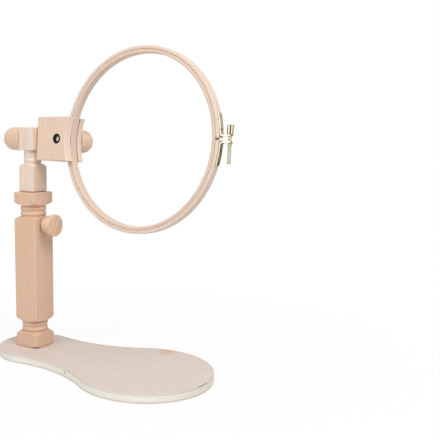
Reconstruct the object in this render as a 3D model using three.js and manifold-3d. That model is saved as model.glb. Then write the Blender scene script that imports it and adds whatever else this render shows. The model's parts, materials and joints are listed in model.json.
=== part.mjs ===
// An embroidery hoop held by a wooden seat stand.
// Millimetres, +Z up. The origin is on the post's axis at the underside of the base board,
// and +X runs along the board from the post towards the wide paddle.
import * as THREE from "three";
import { mergeVertices } from "three/addons/utils/BufferGeometryUtils.js";
import Module from "manifold-3d";

const wasm = await Module();
wasm.setup();

// Fits

const GAP = 0.3; // running gap between neighbouring pieces
const OVERCUT = 1; // how far a cutter reaches past the face it opens
const MERGE_DISTANCE = 1e-4;

// Base board: a spoon outline, two round ends joined by hollow arcs

const BOARD_THICKNESS = 9;
const NARROW_END_RADIUS = 40;
const NARROW_END_X = 2;
const WIDE_END_RADIUS = 66.7;
const WIDE_END_X = 139.7;
const WAIST_RADIUS = 138;

// Screws from below that hold the post on the board

const BASE_SCREW_RADIUS = 2;
const BASE_SCREW_HEAD_RADIUS = 4;
const BASE_SCREW_HEAD_DEPTH = 2.4;
const BASE_SCREW_RECESS = 0.4;
const BASE_SCREW_LENGTH = 30;
const BASE_SCREW_OFFSET = 9;

// Post: square stock with two turned necks

const POST_SIDE = 29;
const FOOT_BLOCK_LENGTH = 16.2;
const POST_BODY_LENGTH = 112.2;
const COLLAR_BLOCK_LENGTH = 14.4;
const POST_GROOVE_RADIUS = 12.4;
const POST_SHOULDER_RISE = 4.3;
const POST_NECK_FLAT = 0.2;

// Head: thinner square stock with one turned neck under its eye block

const HEAD_SIDE = 21;
const HEAD_BAR_LENGTH = 29.3;
const EYE_BLOCK_LENGTH = 24;
const HEAD_GROOVE_RADIUS = 8.6;
const HEAD_SHOULDER_RISE = 4;
const HEAD_FLAT_BELOW_BEADS = 0.8;
const HEAD_FLAT_ABOVE_BEADS = 2.2;
const HEAD_SWIVEL = THREE.MathUtils.degToRad(-2.8);

// Beads on every neck

const BEADS_PER_NECK = 2;
const BEAD_WIDTH = 5.2;
const BEAD_DEPTH = 1.2;
const BEAD_STEPS = 6;

// Rod under the head, which slides in the post's bore

const ROD_RADIUS = 8;
const ROD_LENGTH = 100;
const TENON_RADIUS = 6;
const TENON_LENGTH = 20;
const BORE_SPARE_DEPTH = 3;

// Lock knob on the post's face towards the paddle

const LOCK_DROP = 8.5; // below the top of the post's body
const LOCK_STUD_RADIUS = 3;
const LOCK_INSERT_WALL = 1;
const LOCK_INSERT_SETBACK = 0.8; // from the rod's bore
const LOCK_KNOB_STANDOFF = 2.9;
const LOCK_KNOB_LENGTH = 13.2;
const LOCK_KNOB_BACK_RADIUS = 8.4;
const LOCK_KNOB_RIM_RADIUS = 11.4;
const LOCK_KNOB_RIM_LENGTH = 4;
const LOCK_KNOB_EDGE = 0.8;
const LOCK_STUD_DEPTH = 9; // inside the knob

// Pivot knob and stud through the eye block

const PIVOT_STUD_RADIUS = 2.5;
const PIVOT_STUD_REACH = 14; // inside the front jaw
const PIVOT_STUD_DEPTH = 14; // inside the knob
const PIVOT_KNOB_RADIUS = 12.2;
const PIVOT_KNOB_STRAIGHT = 12.9;
const DOME_STEPS = 7;
const DOME_FULLNESS = 2.5; // 2 is half a ball, more is squarer
const CLAMP_TILT = THREE.MathUtils.degToRad(5.1);

// Clamp: two wooden jaws either side of the hoop's rim

const JAW_THICKNESS = 9.5;
const JAW_HALF_HEIGHT = 22;
const JAW_REACH = 31.9; // from the front jaw's back end to the rim's outer edge
const FRONT_JAW_LAP = 0.8; // how far the front jaw passes the rim's inner edge
const REAR_JAW_LAP = -2; // the rear jaw stops short of that edge
const REAR_JAW_SETBACK = 7.2;
const HEEL_LENGTH = 8;
const CLAMP_SCREW_RADIUS = 3;
const CLAMP_SCREW_TO_RIM = 1.3;
const CLAMP_SCREW_DEPTH = 13; // inside the knob
const CLAMP_SCREW_TIP_RECESS = 0.6;
const CLAMP_SCREW_CENTRE_RADIUS = 1.3;
const CLAMP_SCREW_CENTRE_DEPTH = 1.5;
const CLAMP_INSERT_WALL = 1.5;
const CLAMP_INSERT_LENGTH = 7;
const CLAMP_KNOB_RADIUS = 12;
const CLAMP_KNOB_STRAIGHT = 8.6;

// Hoop rings

const HOOP_RADIUS = 87.5;
const OUTER_RING_WALL = 3.4;
const INNER_RING_WALL = 3;
const RING_WIDTH = 8.4;
const RING_EDGE = 0.7;
const SPLIT_GAP = 2.4;
const HOOP_TURN = THREE.MathUtils.degToRad(1.05);

// Strap brackets at the split, with their nails

const STRAP_THICKNESS = 1;
const STRAP_WIDTH = 5;
const STRAP_LENGTH = 19.8;
const STRAP_BEND_RADIUS = 1.6; // inside the bend from strap to ear
const EAR_SPACING = 6; // between the middles of the two ears
const EAR_HEIGHT = 11;
const NAIL_RADIUS = 0.6;
const NAIL_HEAD_RADIUS = 1.3;
const NAIL_HEAD_HEIGHT = 0.7;
const NAIL_DEPTH = 2.2;
const NEAR_NAIL_INSET = 6; // from the ear
const FAR_NAIL_INSET = 2.4; // from the strap's end

// Tension screw across the ears

const TENSION_SCREW_HEIGHT = 8.9; // of its axis above the rim
const TENSION_SCREW_RADIUS = 1.5;
const TENSION_SCREW_TAIL = 17.6; // past the lower ear
const TENSION_HEAD_RADIUS = 2.9;
const TENSION_HEAD_LENGTH = 8.2;
const TENSION_HEAD_SLOT_WIDTH = 0.8;
const TENSION_HEAD_SLOT_DEPTH = 1.2;
const KNURL_RIDGES = 18;
const KNURL_DEPTH = 0.25;
const TENSION_NUT_WALL = 0.3;
const TENSION_NUT_LENGTH = 2;

// Facets of round shapes

const ROUND_SIDES = 24;
const TURNING_SIDES = 36;
const RING_SIDES = 72;
const NAIL_SIDES = 8;
const BOARD_ARC_STEPS = 14;
const JAW_ARC_STEPS = 8;
const STRAP_ARC_STEPS = 4;

// Surfaces

const WOOD_ROUGHNESS = 0.6;
const METAL_ROUGHNESS = 0.35;

// Heights up the post, from the underside of the board

const postNeckLength = BEADS_PER_NECK * BEAD_WIDTH + 2 * POST_NECK_FLAT;
const footTop = BOARD_THICKNESS + FOOT_BLOCK_LENGTH;
const bodyBottom = footTop + postNeckLength;
const bodyTop = bodyBottom + POST_BODY_LENGTH;
const collarBottom = bodyTop + postNeckLength;
const collarTop = collarBottom + COLLAR_BLOCK_LENGTH;
const rodBottom = collarTop - ROD_LENGTH;
const lockHeight = bodyTop - LOCK_DROP;

// Heights up the head

const headNeckLength = HEAD_FLAT_BELOW_BEADS + BEADS_PER_NECK * BEAD_WIDTH + HEAD_FLAT_ABOVE_BEADS;
const headBottom = collarTop + GAP;
const headBarTop = headBottom + HEAD_BAR_LENGTH;
const eyeBottom = headBarTop + headNeckLength;
const eyeTop = eyeBottom + EYE_BLOCK_LENGTH;
const pivotHeight = (eyeBottom + eyeTop) / 2;

// Places in the clamp: X along the pivot stud, Y backwards through the jaws

const eyeHalf = HEAD_SIDE / 2;
const jawStart = eyeHalf + GAP;
const jawBack = JAW_THICKNESS / 2;
const rimFront = jawBack + GAP;
const rearJawFront = rimFront + RING_WIDTH + GAP;
const rearJawBack = rearJawFront + JAW_THICKNESS;
const rearJawStart = jawStart + REAR_JAW_SETBACK;
const rimStart = jawStart + JAW_REACH;
const hoopX = rimStart + HOOP_RADIUS;
const hoopY = rimFront + RING_WIDTH / 2;
const clampScrewX = rimStart - CLAMP_SCREW_TO_RIM - CLAMP_SCREW_RADIUS;
const clampInsertRadius = CLAMP_SCREW_RADIUS + GAP + CLAMP_INSERT_WALL;

// Radii of the hoop

const splitRadius = HOOP_RADIUS - OUTER_RING_WALL;
const innerRingRadius = splitRadius - GAP;
const rimInnerRadius = innerRingRadius - INNER_RING_WALL;
const strapRadius = HOOP_RADIUS + GAP;
const earTip = HOOP_RADIUS + EAR_HEIGHT;
const tensionScrewX = HOOP_RADIUS + TENSION_SCREW_HEIGHT;

// A closed geometry as a solid that can be joined and cut.
function solid(geometry) {
  const bare = new THREE.BufferGeometry();
  bare.setAttribute("position", geometry.getAttribute("position"));
  bare.setIndex(geometry.getIndex());
  const merged = mergeVertices(bare, MERGE_DISTANCE);
  const corners = merged.getIndex().array;
  const triangles = [];
  for (let i = 0; i < corners.length; i += 3) {
    const [a, b, c] = corners.slice(i, i + 3);
    if (a !== b && b !== c && c !== a) triangles.push(a, b, c);
  }
  return new wasm.Manifold(
    new wasm.Mesh({
      numProp: 3,
      vertProperties: merged.getAttribute("position").array,
      triVerts: new Uint32Array(triangles),
    }),
  );
}

// A solid back as a geometry with flat faces.
function geometryOf(body) {
  const mesh = body.getMesh();
  const geometry = new THREE.BufferGeometry();
  geometry.setAttribute("position", new THREE.BufferAttribute(mesh.vertProperties, 3));
  geometry.setIndex(new THREE.BufferAttribute(mesh.triVerts, 1));
  const flat = geometry.toNonIndexed();
  flat.computeVertexNormals();
  return flat;
}

// A body turned about Z from [radius, height] points, which start and end on the axis or close on themselves.
function turned(points, sides = ROUND_SIDES) {
  const profile = points.map(([radius, height]) => new THREE.Vector2(radius, height));
  return new THREE.LatheGeometry(profile, sides).rotateX(Math.PI / 2);
}

// A round bar along Z.
function bar(radius, low, high, sides = ROUND_SIDES) {
  return turned([[0, low], [radius, low], [radius, high], [0, high]], sides);
}

// A sleeve along Z.
function sleeve(innerRadius, outerRadius, low, high) {
  return turned([
    [innerRadius, low],
    [outerRadius, low],
    [outerRadius, high],
    [innerRadius, high],
    [innerRadius, low],
  ]);
}

// A rectangular block between two corners.
function block(low, high) {
  const size = high.map((value, axis) => value - low[axis]);
  const middle = high.map((value, axis) => (value + low[axis]) / 2);
  return new THREE.BoxGeometry(...size).translate(...middle);
}

// Turns a body made along Z so that it points along +X, -X or +Y.
const alongX = (geometry) => geometry.rotateY(Math.PI / 2);
const alongMinusX = (geometry) => geometry.rotateY(-Math.PI / 2);
const alongY = (geometry) => geometry.rotateX(-Math.PI / 2);

// An outline in X and Z, drawn as a shape, made into a slab from front to back along Y.
function slab(outline, front, back) {
  const depth = back - front;
  const geometry = new THREE.ExtrudeGeometry(outline, { depth, bevelEnabled: false, curveSegments: JAW_ARC_STEPS });
  return geometry.rotateX(Math.PI / 2).translate(0, back, 0);
}

function piece(name, geometry, color, roughness, metalness = 0) {
  const mesh = new THREE.Mesh(geometry, new THREE.MeshStandardMaterial({ color, roughness, metalness }));
  mesh.name = name;
  return mesh;
}

const wooden = (name, geometry, color) => piece(name, geometry, color, WOOD_ROUGHNESS);
const steel = (name, geometry) => piece(name, geometry, 0xa9a9a6, METAL_ROUGHNESS, 1);
const brass = (name, geometry) => piece(name, geometry, 0xb9a765, METAL_ROUGHNESS, 1);

// The spoon outline: each hollow arc touches both round ends.
function boardOutline() {
  const narrowReach = NARROW_END_RADIUS + WAIST_RADIUS;
  const wideReach = WIDE_END_RADIUS + WAIST_RADIUS;
  const span = WIDE_END_X - NARROW_END_X;
  const along = (narrowReach ** 2 - wideReach ** 2 + span ** 2) / (2 * span);
  const aside = Math.sqrt(narrowReach ** 2 - along ** 2);
  const narrowAngle = Math.atan2(aside, along);
  const wideAngle = Math.atan2(aside, along - span);
  const waistX = NARROW_END_X + along;
  const outline = new THREE.Shape();
  outline.absarc(WIDE_END_X, 0, WIDE_END_RADIUS, -wideAngle, wideAngle, false);
  outline.absarc(waistX, aside, WAIST_RADIUS, wideAngle + Math.PI, narrowAngle + Math.PI, true);
  outline.absarc(NARROW_END_X, 0, NARROW_END_RADIUS, narrowAngle, 2 * Math.PI - narrowAngle, false);
  outline.absarc(waistX, -aside, WAIST_RADIUS, Math.PI - narrowAngle, Math.PI - wideAngle, true);
  return outline;
}

// Hole for one countersunk screw, open at the underside and through to the given height.
function baseScrewHole(x, top) {
  const headRadius = BASE_SCREW_HEAD_RADIUS + GAP;
  const shank = BASE_SCREW_RADIUS + GAP;
  const hole = turned([
    [0, -OVERCUT],
    [headRadius, -OVERCUT],
    [headRadius, BASE_SCREW_RECESS],
    [shank, BASE_SCREW_RECESS + BASE_SCREW_HEAD_DEPTH],
    [shank, top],
    [0, top],
  ]);
  return solid(hole.translate(x, 0, 0));
}

const baseScrewPlaces = { base_screw_left: -BASE_SCREW_OFFSET, base_screw_right: BASE_SCREW_OFFSET };
const baseScrewTop = BASE_SCREW_RECESS + BASE_SCREW_LENGTH;

function baseBoard() {
  const plate = new THREE.ExtrudeGeometry(boardOutline(), {
    depth: BOARD_THICKNESS,
    bevelEnabled: false,
    curveSegments: BOARD_ARC_STEPS,
  });
  let body = solid(plate);
  for (const x of Object.values(baseScrewPlaces)) {
    body = body.subtract(baseScrewHole(x, BOARD_THICKNESS + OVERCUT));
  }
  return wooden("base_board", geometryOf(body), 0xdccfc6);
}

function baseScrew(name, x) {
  const geometry = turned([
    [0, BASE_SCREW_RECESS],
    [BASE_SCREW_HEAD_RADIUS, BASE_SCREW_RECESS],
    [BASE_SCREW_RADIUS, BASE_SCREW_RECESS + BASE_SCREW_HEAD_DEPTH],
    [BASE_SCREW_RADIUS, baseScrewTop],
    [0, baseScrewTop],
  ]);
  return steel(name, geometry.translate(x, 0, 0));
}

// Square stock cut in on the lathe: blocks stay square, and the stretches between them become beaded necks.
function turnedStick(side, grooveRadius, shoulderRise, flatBelow, flatAbove, blocks) {
  const cornerRadius = side * Math.SQRT1_2;
  const clear = cornerRadius + OVERCUT;
  const shoulder = (shoulderRise * (clear - grooveRadius)) / (cornerRadius - grooveRadius);
  const bottom = blocks[0][0];
  const top = blocks[blocks.length - 1][1];
  const profile = [[0, bottom - OVERCUT], [clear, bottom - OVERCUT]];
  for (let i = 1; i < blocks.length; i++) {
    const neckBottom = blocks[i - 1][1];
    const neckTop = blocks[i][0];
    profile.push([clear, neckBottom - shoulder], [grooveRadius, neckBottom]);
    for (let bead = 0; bead < BEADS_PER_NECK; bead++) {
      const beadBottom = neckBottom + flatBelow + bead * BEAD_WIDTH;
      for (let step = 0; step < BEAD_STEPS; step++) {
        const share = step / BEAD_STEPS;
        profile.push([grooveRadius + BEAD_DEPTH * Math.sin(Math.PI * share), beadBottom + BEAD_WIDTH * share]);
      }
    }
    profile.push([grooveRadius, neckTop - flatAbove], [grooveRadius, neckTop], [clear, neckTop + shoulder]);
  }
  profile.push([clear, top + OVERCUT], [0, top + OVERCUT]);
  const stock = block([-side / 2, -side / 2, bottom], [side / 2, side / 2, top]);
  return solid(stock).intersect(solid(turned(profile, TURNING_SIDES)));
}

function post() {
  let body = turnedStick(POST_SIDE, POST_GROOVE_RADIUS, POST_SHOULDER_RISE, POST_NECK_FLAT, POST_NECK_FLAT, [
    [BOARD_THICKNESS, footTop],
    [bodyBottom, bodyTop],
    [collarBottom, collarTop],
  ]);
  body = body.subtract(solid(bar(ROD_RADIUS + GAP, rodBottom - BORE_SPARE_DEPTH, collarTop + OVERCUT)));
  const insertHole = bar(LOCK_STUD_RADIUS + LOCK_INSERT_WALL + 2 * GAP, 0, POST_SIDE / 2 + OVERCUT);
  body = body.subtract(solid(alongX(insertHole).translate(0, 0, lockHeight)));
  for (const x of Object.values(baseScrewPlaces)) {
    body = body.subtract(baseScrewHole(x, baseScrewTop + GAP));
  }
  return wooden("post", geometryOf(body), 0xd4b197);
}

function lockInsert() {
  const bore = LOCK_STUD_RADIUS + GAP;
  const shell = sleeve(bore, bore + LOCK_INSERT_WALL, ROD_RADIUS + GAP + LOCK_INSERT_SETBACK, POST_SIDE / 2);
  return brass("lock_insert", alongX(shell).translate(0, 0, lockHeight));
}

const lockKnobBack = POST_SIDE / 2 + LOCK_KNOB_STANDOFF;

function lockStud() {
  const stud = bar(LOCK_STUD_RADIUS, ROD_RADIUS + GAP, lockKnobBack + LOCK_STUD_DEPTH);
  return steel("lock_stud", alongX(stud).translate(0, 0, lockHeight));
}

// The lock knob flares from its back to a plain rim with a flat face.
function lockKnob() {
  const rimStartHeight = LOCK_KNOB_LENGTH - LOCK_KNOB_RIM_LENGTH;
  const knob = solid(
    turned([
      [0, 0],
      [LOCK_KNOB_BACK_RADIUS - LOCK_KNOB_EDGE, 0],
      [LOCK_KNOB_BACK_RADIUS, LOCK_KNOB_EDGE],
      [LOCK_KNOB_RIM_RADIUS, rimStartHeight],
      [LOCK_KNOB_RIM_RADIUS, LOCK_KNOB_LENGTH - LOCK_KNOB_EDGE],
      [LOCK_KNOB_RIM_RADIUS - LOCK_KNOB_EDGE, LOCK_KNOB_LENGTH],
      [0, LOCK_KNOB_LENGTH],
    ]),
  );
  const bored = knob.subtract(solid(bar(LOCK_STUD_RADIUS + GAP, -OVERCUT, LOCK_STUD_DEPTH + GAP)));
  return wooden("lock_knob", alongX(geometryOf(bored)).translate(lockKnobBack, 0, lockHeight), 0xd2b090);
}

function liftRod() {
  const geometry = turned([
    [0, rodBottom],
    [ROD_RADIUS, rodBottom],
    [ROD_RADIUS, collarTop],
    [TENON_RADIUS, collarTop],
    [TENON_RADIUS, headBottom + TENON_LENGTH],
    [0, headBottom + TENON_LENGTH],
  ]);
  return wooden("lift_rod", geometry, 0xd9b99f);
}

function head() {
  const flats = [HEAD_FLAT_BELOW_BEADS, HEAD_FLAT_ABOVE_BEADS];
  let body = turnedStick(HEAD_SIDE, HEAD_GROOVE_RADIUS, HEAD_SHOULDER_RISE, ...flats, [
    [headBottom, headBarTop],
    [eyeBottom, eyeTop],
  ]);
  body = body.subtract(solid(bar(TENON_RADIUS + GAP, headBottom - OVERCUT, headBottom + TENON_LENGTH + GAP)));
  const eye = bar(PIVOT_STUD_RADIUS + GAP, -eyeHalf - OVERCUT, eyeHalf + OVERCUT);
  body = body.subtract(solid(alongX(eye).translate(0, 0, pivotHeight)));
  return wooden("head", geometryOf(body), 0xdfc3ab);
}

// A bullet-shaped knob: straight sides, then a full dome, with a blind hole for its stud.
function domedKnob(radius, straight, studRadius, studDepth) {
  const profile = [[0, 0]];
  for (let step = 0; step < DOME_STEPS; step++) {
    const angle = (step / DOME_STEPS) * (Math.PI / 2);
    if (step === 0) profile.push([radius, 0]);
    const reach = Math.cos(angle) ** (2 / DOME_FULLNESS);
    const rise = Math.sin(angle) ** (2 / DOME_FULLNESS);
    profile.push([radius * reach, straight + radius * rise]);
  }
  profile.push([0, straight + radius]);
  const hole = bar(studRadius + GAP, -OVERCUT, studDepth + GAP);
  return geometryOf(solid(turned(profile)).subtract(solid(hole)));
}

function pivotKnob() {
  const knob = domedKnob(PIVOT_KNOB_RADIUS, PIVOT_KNOB_STRAIGHT, PIVOT_STUD_RADIUS, PIVOT_STUD_DEPTH);
  return wooden("pivot_knob", alongMinusX(knob).translate(-jawStart, 0, pivotHeight), 0xddbda2);
}

function pivotStud() {
  const stud = bar(PIVOT_STUD_RADIUS, -jawStart - PIVOT_STUD_DEPTH, jawStart + PIVOT_STUD_REACH);
  return steel("pivot_stud", alongX(stud).translate(0, 0, pivotHeight));
}

// A jaw's outline in X and Z: square at its start, hollowed at its end round the hoop's centre.
function jawOutline(start, endRadius) {
  const half = Math.asin(JAW_HALF_HEIGHT / endRadius);
  const outline = new THREE.Shape();
  outline.moveTo(start, JAW_HALF_HEIGHT);
  outline.lineTo(start, -JAW_HALF_HEIGHT);
  outline.absarc(hoopX, 0, endRadius, Math.PI + half, Math.PI - half, true);
  return outline;
}

function frontJaw() {
  let body = solid(slab(jawOutline(jawStart, rimInnerRadius - FRONT_JAW_LAP), -jawBack, jawBack));
  const studHole = bar(PIVOT_STUD_RADIUS + GAP, jawStart - OVERCUT, jawStart + PIVOT_STUD_REACH + GAP);
  body = body.subtract(solid(alongX(studHole)));
  const insertHole = bar(clampInsertRadius + GAP, -jawBack - OVERCUT, -jawBack + CLAMP_INSERT_LENGTH + GAP);
  body = body.subtract(solid(alongY(insertHole).translate(clampScrewX, 0, 0)));
  const screwHole = bar(CLAMP_SCREW_RADIUS + GAP, -jawBack, jawBack + OVERCUT);
  body = body.subtract(solid(alongY(screwHole).translate(clampScrewX, 0, 0)));
  return wooden("front_jaw", geometryOf(body), 0xe3c8b2);
}

function clampInsert() {
  const shell = sleeve(CLAMP_SCREW_RADIUS + GAP, clampInsertRadius, -jawBack, -jawBack + CLAMP_INSERT_LENGTH);
  return piece("clamp_insert", alongY(shell).translate(clampScrewX, 0, 0), 0x2e2620, METAL_ROUGHNESS, 1);
}

// The rear jaw has a heel that bears on the front jaw, so that the two close level on the rim.
function rearJaw() {
  let body = solid(slab(jawOutline(rearJawStart, rimInnerRadius - REAR_JAW_LAP), rearJawFront, rearJawBack));
  const heel = block(
    [rearJawStart, rimFront, -JAW_HALF_HEIGHT],
    [rearJawStart + HEEL_LENGTH, rearJawFront + JAW_THICKNESS / 2, JAW_HALF_HEIGHT],
  );
  body = body.add(solid(heel));
  const screwHole = bar(CLAMP_SCREW_RADIUS + GAP, rearJawFront - OVERCUT, rearJawBack + OVERCUT);
  body = body.subtract(solid(alongY(screwHole).translate(clampScrewX, 0, 0)));
  return wooden("rear_jaw", geometryOf(body), 0xe6ccb5);
}

const clampKnobBase = rearJawBack + GAP;

function clampKnob() {
  const knob = domedKnob(CLAMP_KNOB_RADIUS, CLAMP_KNOB_STRAIGHT, CLAMP_SCREW_RADIUS, CLAMP_SCREW_DEPTH);
  return wooden("clamp_knob", alongY(knob).translate(clampScrewX, clampKnobBase, 0), 0xd9b497);
}

// The screw's tip shows in the insert, with the small centre hole left by turning.
function clampScrew() {
  const tip = -jawBack + CLAMP_SCREW_TIP_RECESS;
  const shank = solid(bar(CLAMP_SCREW_RADIUS, tip, clampKnobBase + CLAMP_SCREW_DEPTH));
  const centre = solid(bar(CLAMP_SCREW_CENTRE_RADIUS, tip - OVERCUT, tip + CLAMP_SCREW_CENTRE_DEPTH));
  return steel("clamp_screw", alongY(geometryOf(shank.subtract(centre))).translate(clampScrewX, 0, 0));
}

// A ring about Z with its edges eased.
function ring(innerRadius, outerRadius) {
  const half = RING_WIDTH / 2;
  return turned(
    [
      [innerRadius + RING_EDGE, -half],
      [outerRadius - RING_EDGE, -half],
      [outerRadius, RING_EDGE - half],
      [outerRadius, half - RING_EDGE],
      [outerRadius - RING_EDGE, half],
      [innerRadius + RING_EDGE, half],
      [innerRadius, half - RING_EDGE],
      [innerRadius, RING_EDGE - half],
      [innerRadius + RING_EDGE, -half],
    ],
    RING_SIDES,
  );
}

// Angles round the hoop of the two nails of one strap, measured from the split.
const earAngle = Math.asin(EAR_SPACING / 2 / strapRadius);
const strapEndAngle = earAngle + STRAP_LENGTH / strapRadius;
const nearNailAngle = earAngle + NEAR_NAIL_INSET / strapRadius;
const farNailAngle = strapEndAngle - FAR_NAIL_INSET / strapRadius;

function nailHole(angle) {
  const bottom = HOOP_RADIUS - NAIL_DEPTH - GAP;
  const hole = bar(NAIL_RADIUS + GAP, bottom, strapRadius + STRAP_THICKNESS + OVERCUT, NAIL_SIDES);
  return solid(alongX(hole).rotateZ(angle));
}

function outerRing() {
  let body = solid(ring(splitRadius, HOOP_RADIUS));
  const split = block(
    [splitRadius - OVERCUT, -SPLIT_GAP / 2, -RING_WIDTH],
    [HOOP_RADIUS + OVERCUT, SPLIT_GAP / 2, RING_WIDTH],
  );
  body = body.subtract(solid(split));
  for (const angle of [nearNailAngle, farNailAngle, -nearNailAngle, -farNailAngle]) {
    body = body.subtract(nailHole(angle));
  }
  return wooden("outer_ring", geometryOf(body), 0xe6c9b4);
}

function innerRing() {
  return wooden("inner_ring", ring(rimInnerRadius, innerRingRadius), 0xddbfab);
}

// A strap that follows the rim and bends out into an ear at the split, on the +Y side.
function bracketGeometry() {
  const strapOuter = strapRadius + STRAP_THICKNESS;
  const earLow = EAR_SPACING / 2 - STRAP_THICKNESS / 2;
  const earHigh = EAR_SPACING / 2 + STRAP_THICKNESS / 2;
  const bendY = earHigh + STRAP_BEND_RADIUS;
  const bendX = Math.sqrt((strapOuter + STRAP_BEND_RADIUS) ** 2 - bendY ** 2);
  const bendAngle = Math.atan2(bendY, bendX);
  const towardsEar = 1.5 * Math.PI;
  const towardsRim = Math.PI + bendAngle;
  const outline = new THREE.Shape();
  outline.moveTo(earTip, earLow);
  outline.lineTo(earTip, earHigh);
  outline.absarc(bendX, bendY, STRAP_BEND_RADIUS, towardsEar, towardsRim, true);
  outline.absarc(0, 0, strapOuter, bendAngle, strapEndAngle, false);
  outline.absarc(0, 0, strapRadius, strapEndAngle, bendAngle, true);
  outline.absarc(bendX, bendY, STRAP_BEND_RADIUS + STRAP_THICKNESS, towardsRim, towardsEar, false);
  const sheet = new THREE.ExtrudeGeometry(outline, {
    depth: STRAP_WIDTH,
    bevelEnabled: false,
    curveSegments: STRAP_ARC_STEPS,
  });
  let body = solid(sheet.translate(0, 0, -STRAP_WIDTH / 2));
  const screwHole = bar(TENSION_SCREW_RADIUS + GAP, earLow - OVERCUT, earHigh + OVERCUT);
  body = body.subtract(solid(alongY(screwHole).translate(tensionScrewX, 0, 0)));
  for (const angle of [nearNailAngle, farNailAngle]) {
    body = body.subtract(nailHole(angle));
  }
  return geometryOf(body);
}

function bracket(name, turn) {
  const mesh = brass(name, bracketGeometry());
  mesh.rotation.x = turn;
  return mesh;
}

// A domed nail through the strap into the ring.
function nail(name, angle) {
  const seat = strapRadius + STRAP_THICKNESS + GAP;
  const geometry = turned(
    [
      [0, HOOP_RADIUS - NAIL_DEPTH],
      [NAIL_RADIUS, HOOP_RADIUS - NAIL_DEPTH],
      [NAIL_RADIUS, seat],
      [NAIL_HEAD_RADIUS, seat],
      [NAIL_HEAD_RADIUS * Math.SQRT1_2, seat + NAIL_HEAD_HEIGHT * Math.SQRT1_2],
      [0, seat + NAIL_HEAD_HEIGHT],
    ],
    NAIL_SIDES,
  );
  return brass(name, alongX(geometry).rotateZ(angle));
}

// The knurled head's outline: ridges round a circle.
function knurlOutline() {
  const points = [];
  for (let i = 0; i < 2 * KNURL_RIDGES; i++) {
    const angle = (i / KNURL_RIDGES) * Math.PI;
    const radius = TENSION_HEAD_RADIUS - (i % 2) * KNURL_DEPTH;
    points.push(new THREE.Vector2(radius * Math.cos(angle), radius * Math.sin(angle)));
  }
  return new THREE.Shape(points);
}

const headSeat = EAR_SPACING / 2 + STRAP_THICKNESS / 2 + GAP;

function tensionScrew() {
  const grip = new THREE.ExtrudeGeometry(knurlOutline(), { depth: TENSION_HEAD_LENGTH, bevelEnabled: false });
  let body = solid(grip.translate(0, 0, headSeat));
  const headTop = headSeat + TENSION_HEAD_LENGTH;
  const slot = block(
    [-TENSION_HEAD_RADIUS - OVERCUT, -TENSION_HEAD_SLOT_WIDTH / 2, headTop - TENSION_HEAD_SLOT_DEPTH],
    [TENSION_HEAD_RADIUS + OVERCUT, TENSION_HEAD_SLOT_WIDTH / 2, headTop + OVERCUT],
  );
  body = body.subtract(solid(slot));
  const shank = bar(TENSION_SCREW_RADIUS, -headSeat - TENSION_SCREW_TAIL, headSeat + TENSION_HEAD_LENGTH / 2);
  body = body.add(solid(shank));
  return brass("tension_screw", alongY(geometryOf(body)).translate(tensionScrewX, 0, 0));
}

// The threaded bush on the lower ear.
function tensionNut() {
  const bore = TENSION_SCREW_RADIUS + GAP;
  const shell = sleeve(bore, bore + TENSION_NUT_WALL, -headSeat - TENSION_NUT_LENGTH, -headSeat);
  return brass("tension_nut", alongY(shell).translate(tensionScrewX, 0, 0));
}

// The hoop, made about its own axis: X towards the split, Z out of its front face.
function hoop() {
  const group = new THREE.Group();
  group.add(
    outerRing(),
    innerRing(),
    bracket("bracket_upper", 0),
    bracket("bracket_lower", Math.PI),
    nail("nail_upper_near", nearNailAngle),
    nail("nail_upper_far", farNailAngle),
    nail("nail_lower_near", -nearNailAngle),
    nail("nail_lower_far", -farNailAngle),
    tensionNut(),
    tensionScrew(),
  );
  group.rotation.z = HOOP_TURN;
  const plane = new THREE.Group();
  plane.add(group);
  plane.rotation.x = Math.PI / 2;
  plane.position.set(hoopX, hoopY, 0);
  return plane;
}

// The clamp with the hoop in its jaws, leaning back about the pivot stud.
function clamp() {
  const group = new THREE.Group();
  group.add(frontJaw(), clampInsert(), rearJaw(), clampKnob(), clampScrew(), hoop());
  group.rotation.x = -CLAMP_TILT;
  group.position.z = pivotHeight;
  return group;
}

// All that swivels about the rod.
function swivel() {
  const group = new THREE.Group();
  group.add(head(), pivotKnob(), pivotStud(), clamp());
  group.rotation.z = HEAD_SWIVEL;
  return group;
}

const stand = new THREE.Group();
stand.add(baseBoard(), post(), lockInsert(), lockKnob(), lockStud(), liftRod(), swivel());
for (const [name, x] of Object.entries(baseScrewPlaces)) {
  stand.add(baseScrew(name, x));
}

export default stand;
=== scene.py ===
"""An embroidery hoop on a wooden seat stand, each piece finished over its solid model.

Metres, +Z up. The origin is on the post's axis at the underside of the base board,
and +X runs along the board from the post towards the wide paddle.
"""

import json
import math
from types import SimpleNamespace
from typing import NamedTuple

import bmesh
import bpy
from bpy.props import FloatProperty, FloatVectorProperty, PointerProperty
from bpy.types import Operator, Panel, PropertyGroup
from mathutils import Matrix, Vector


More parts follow.
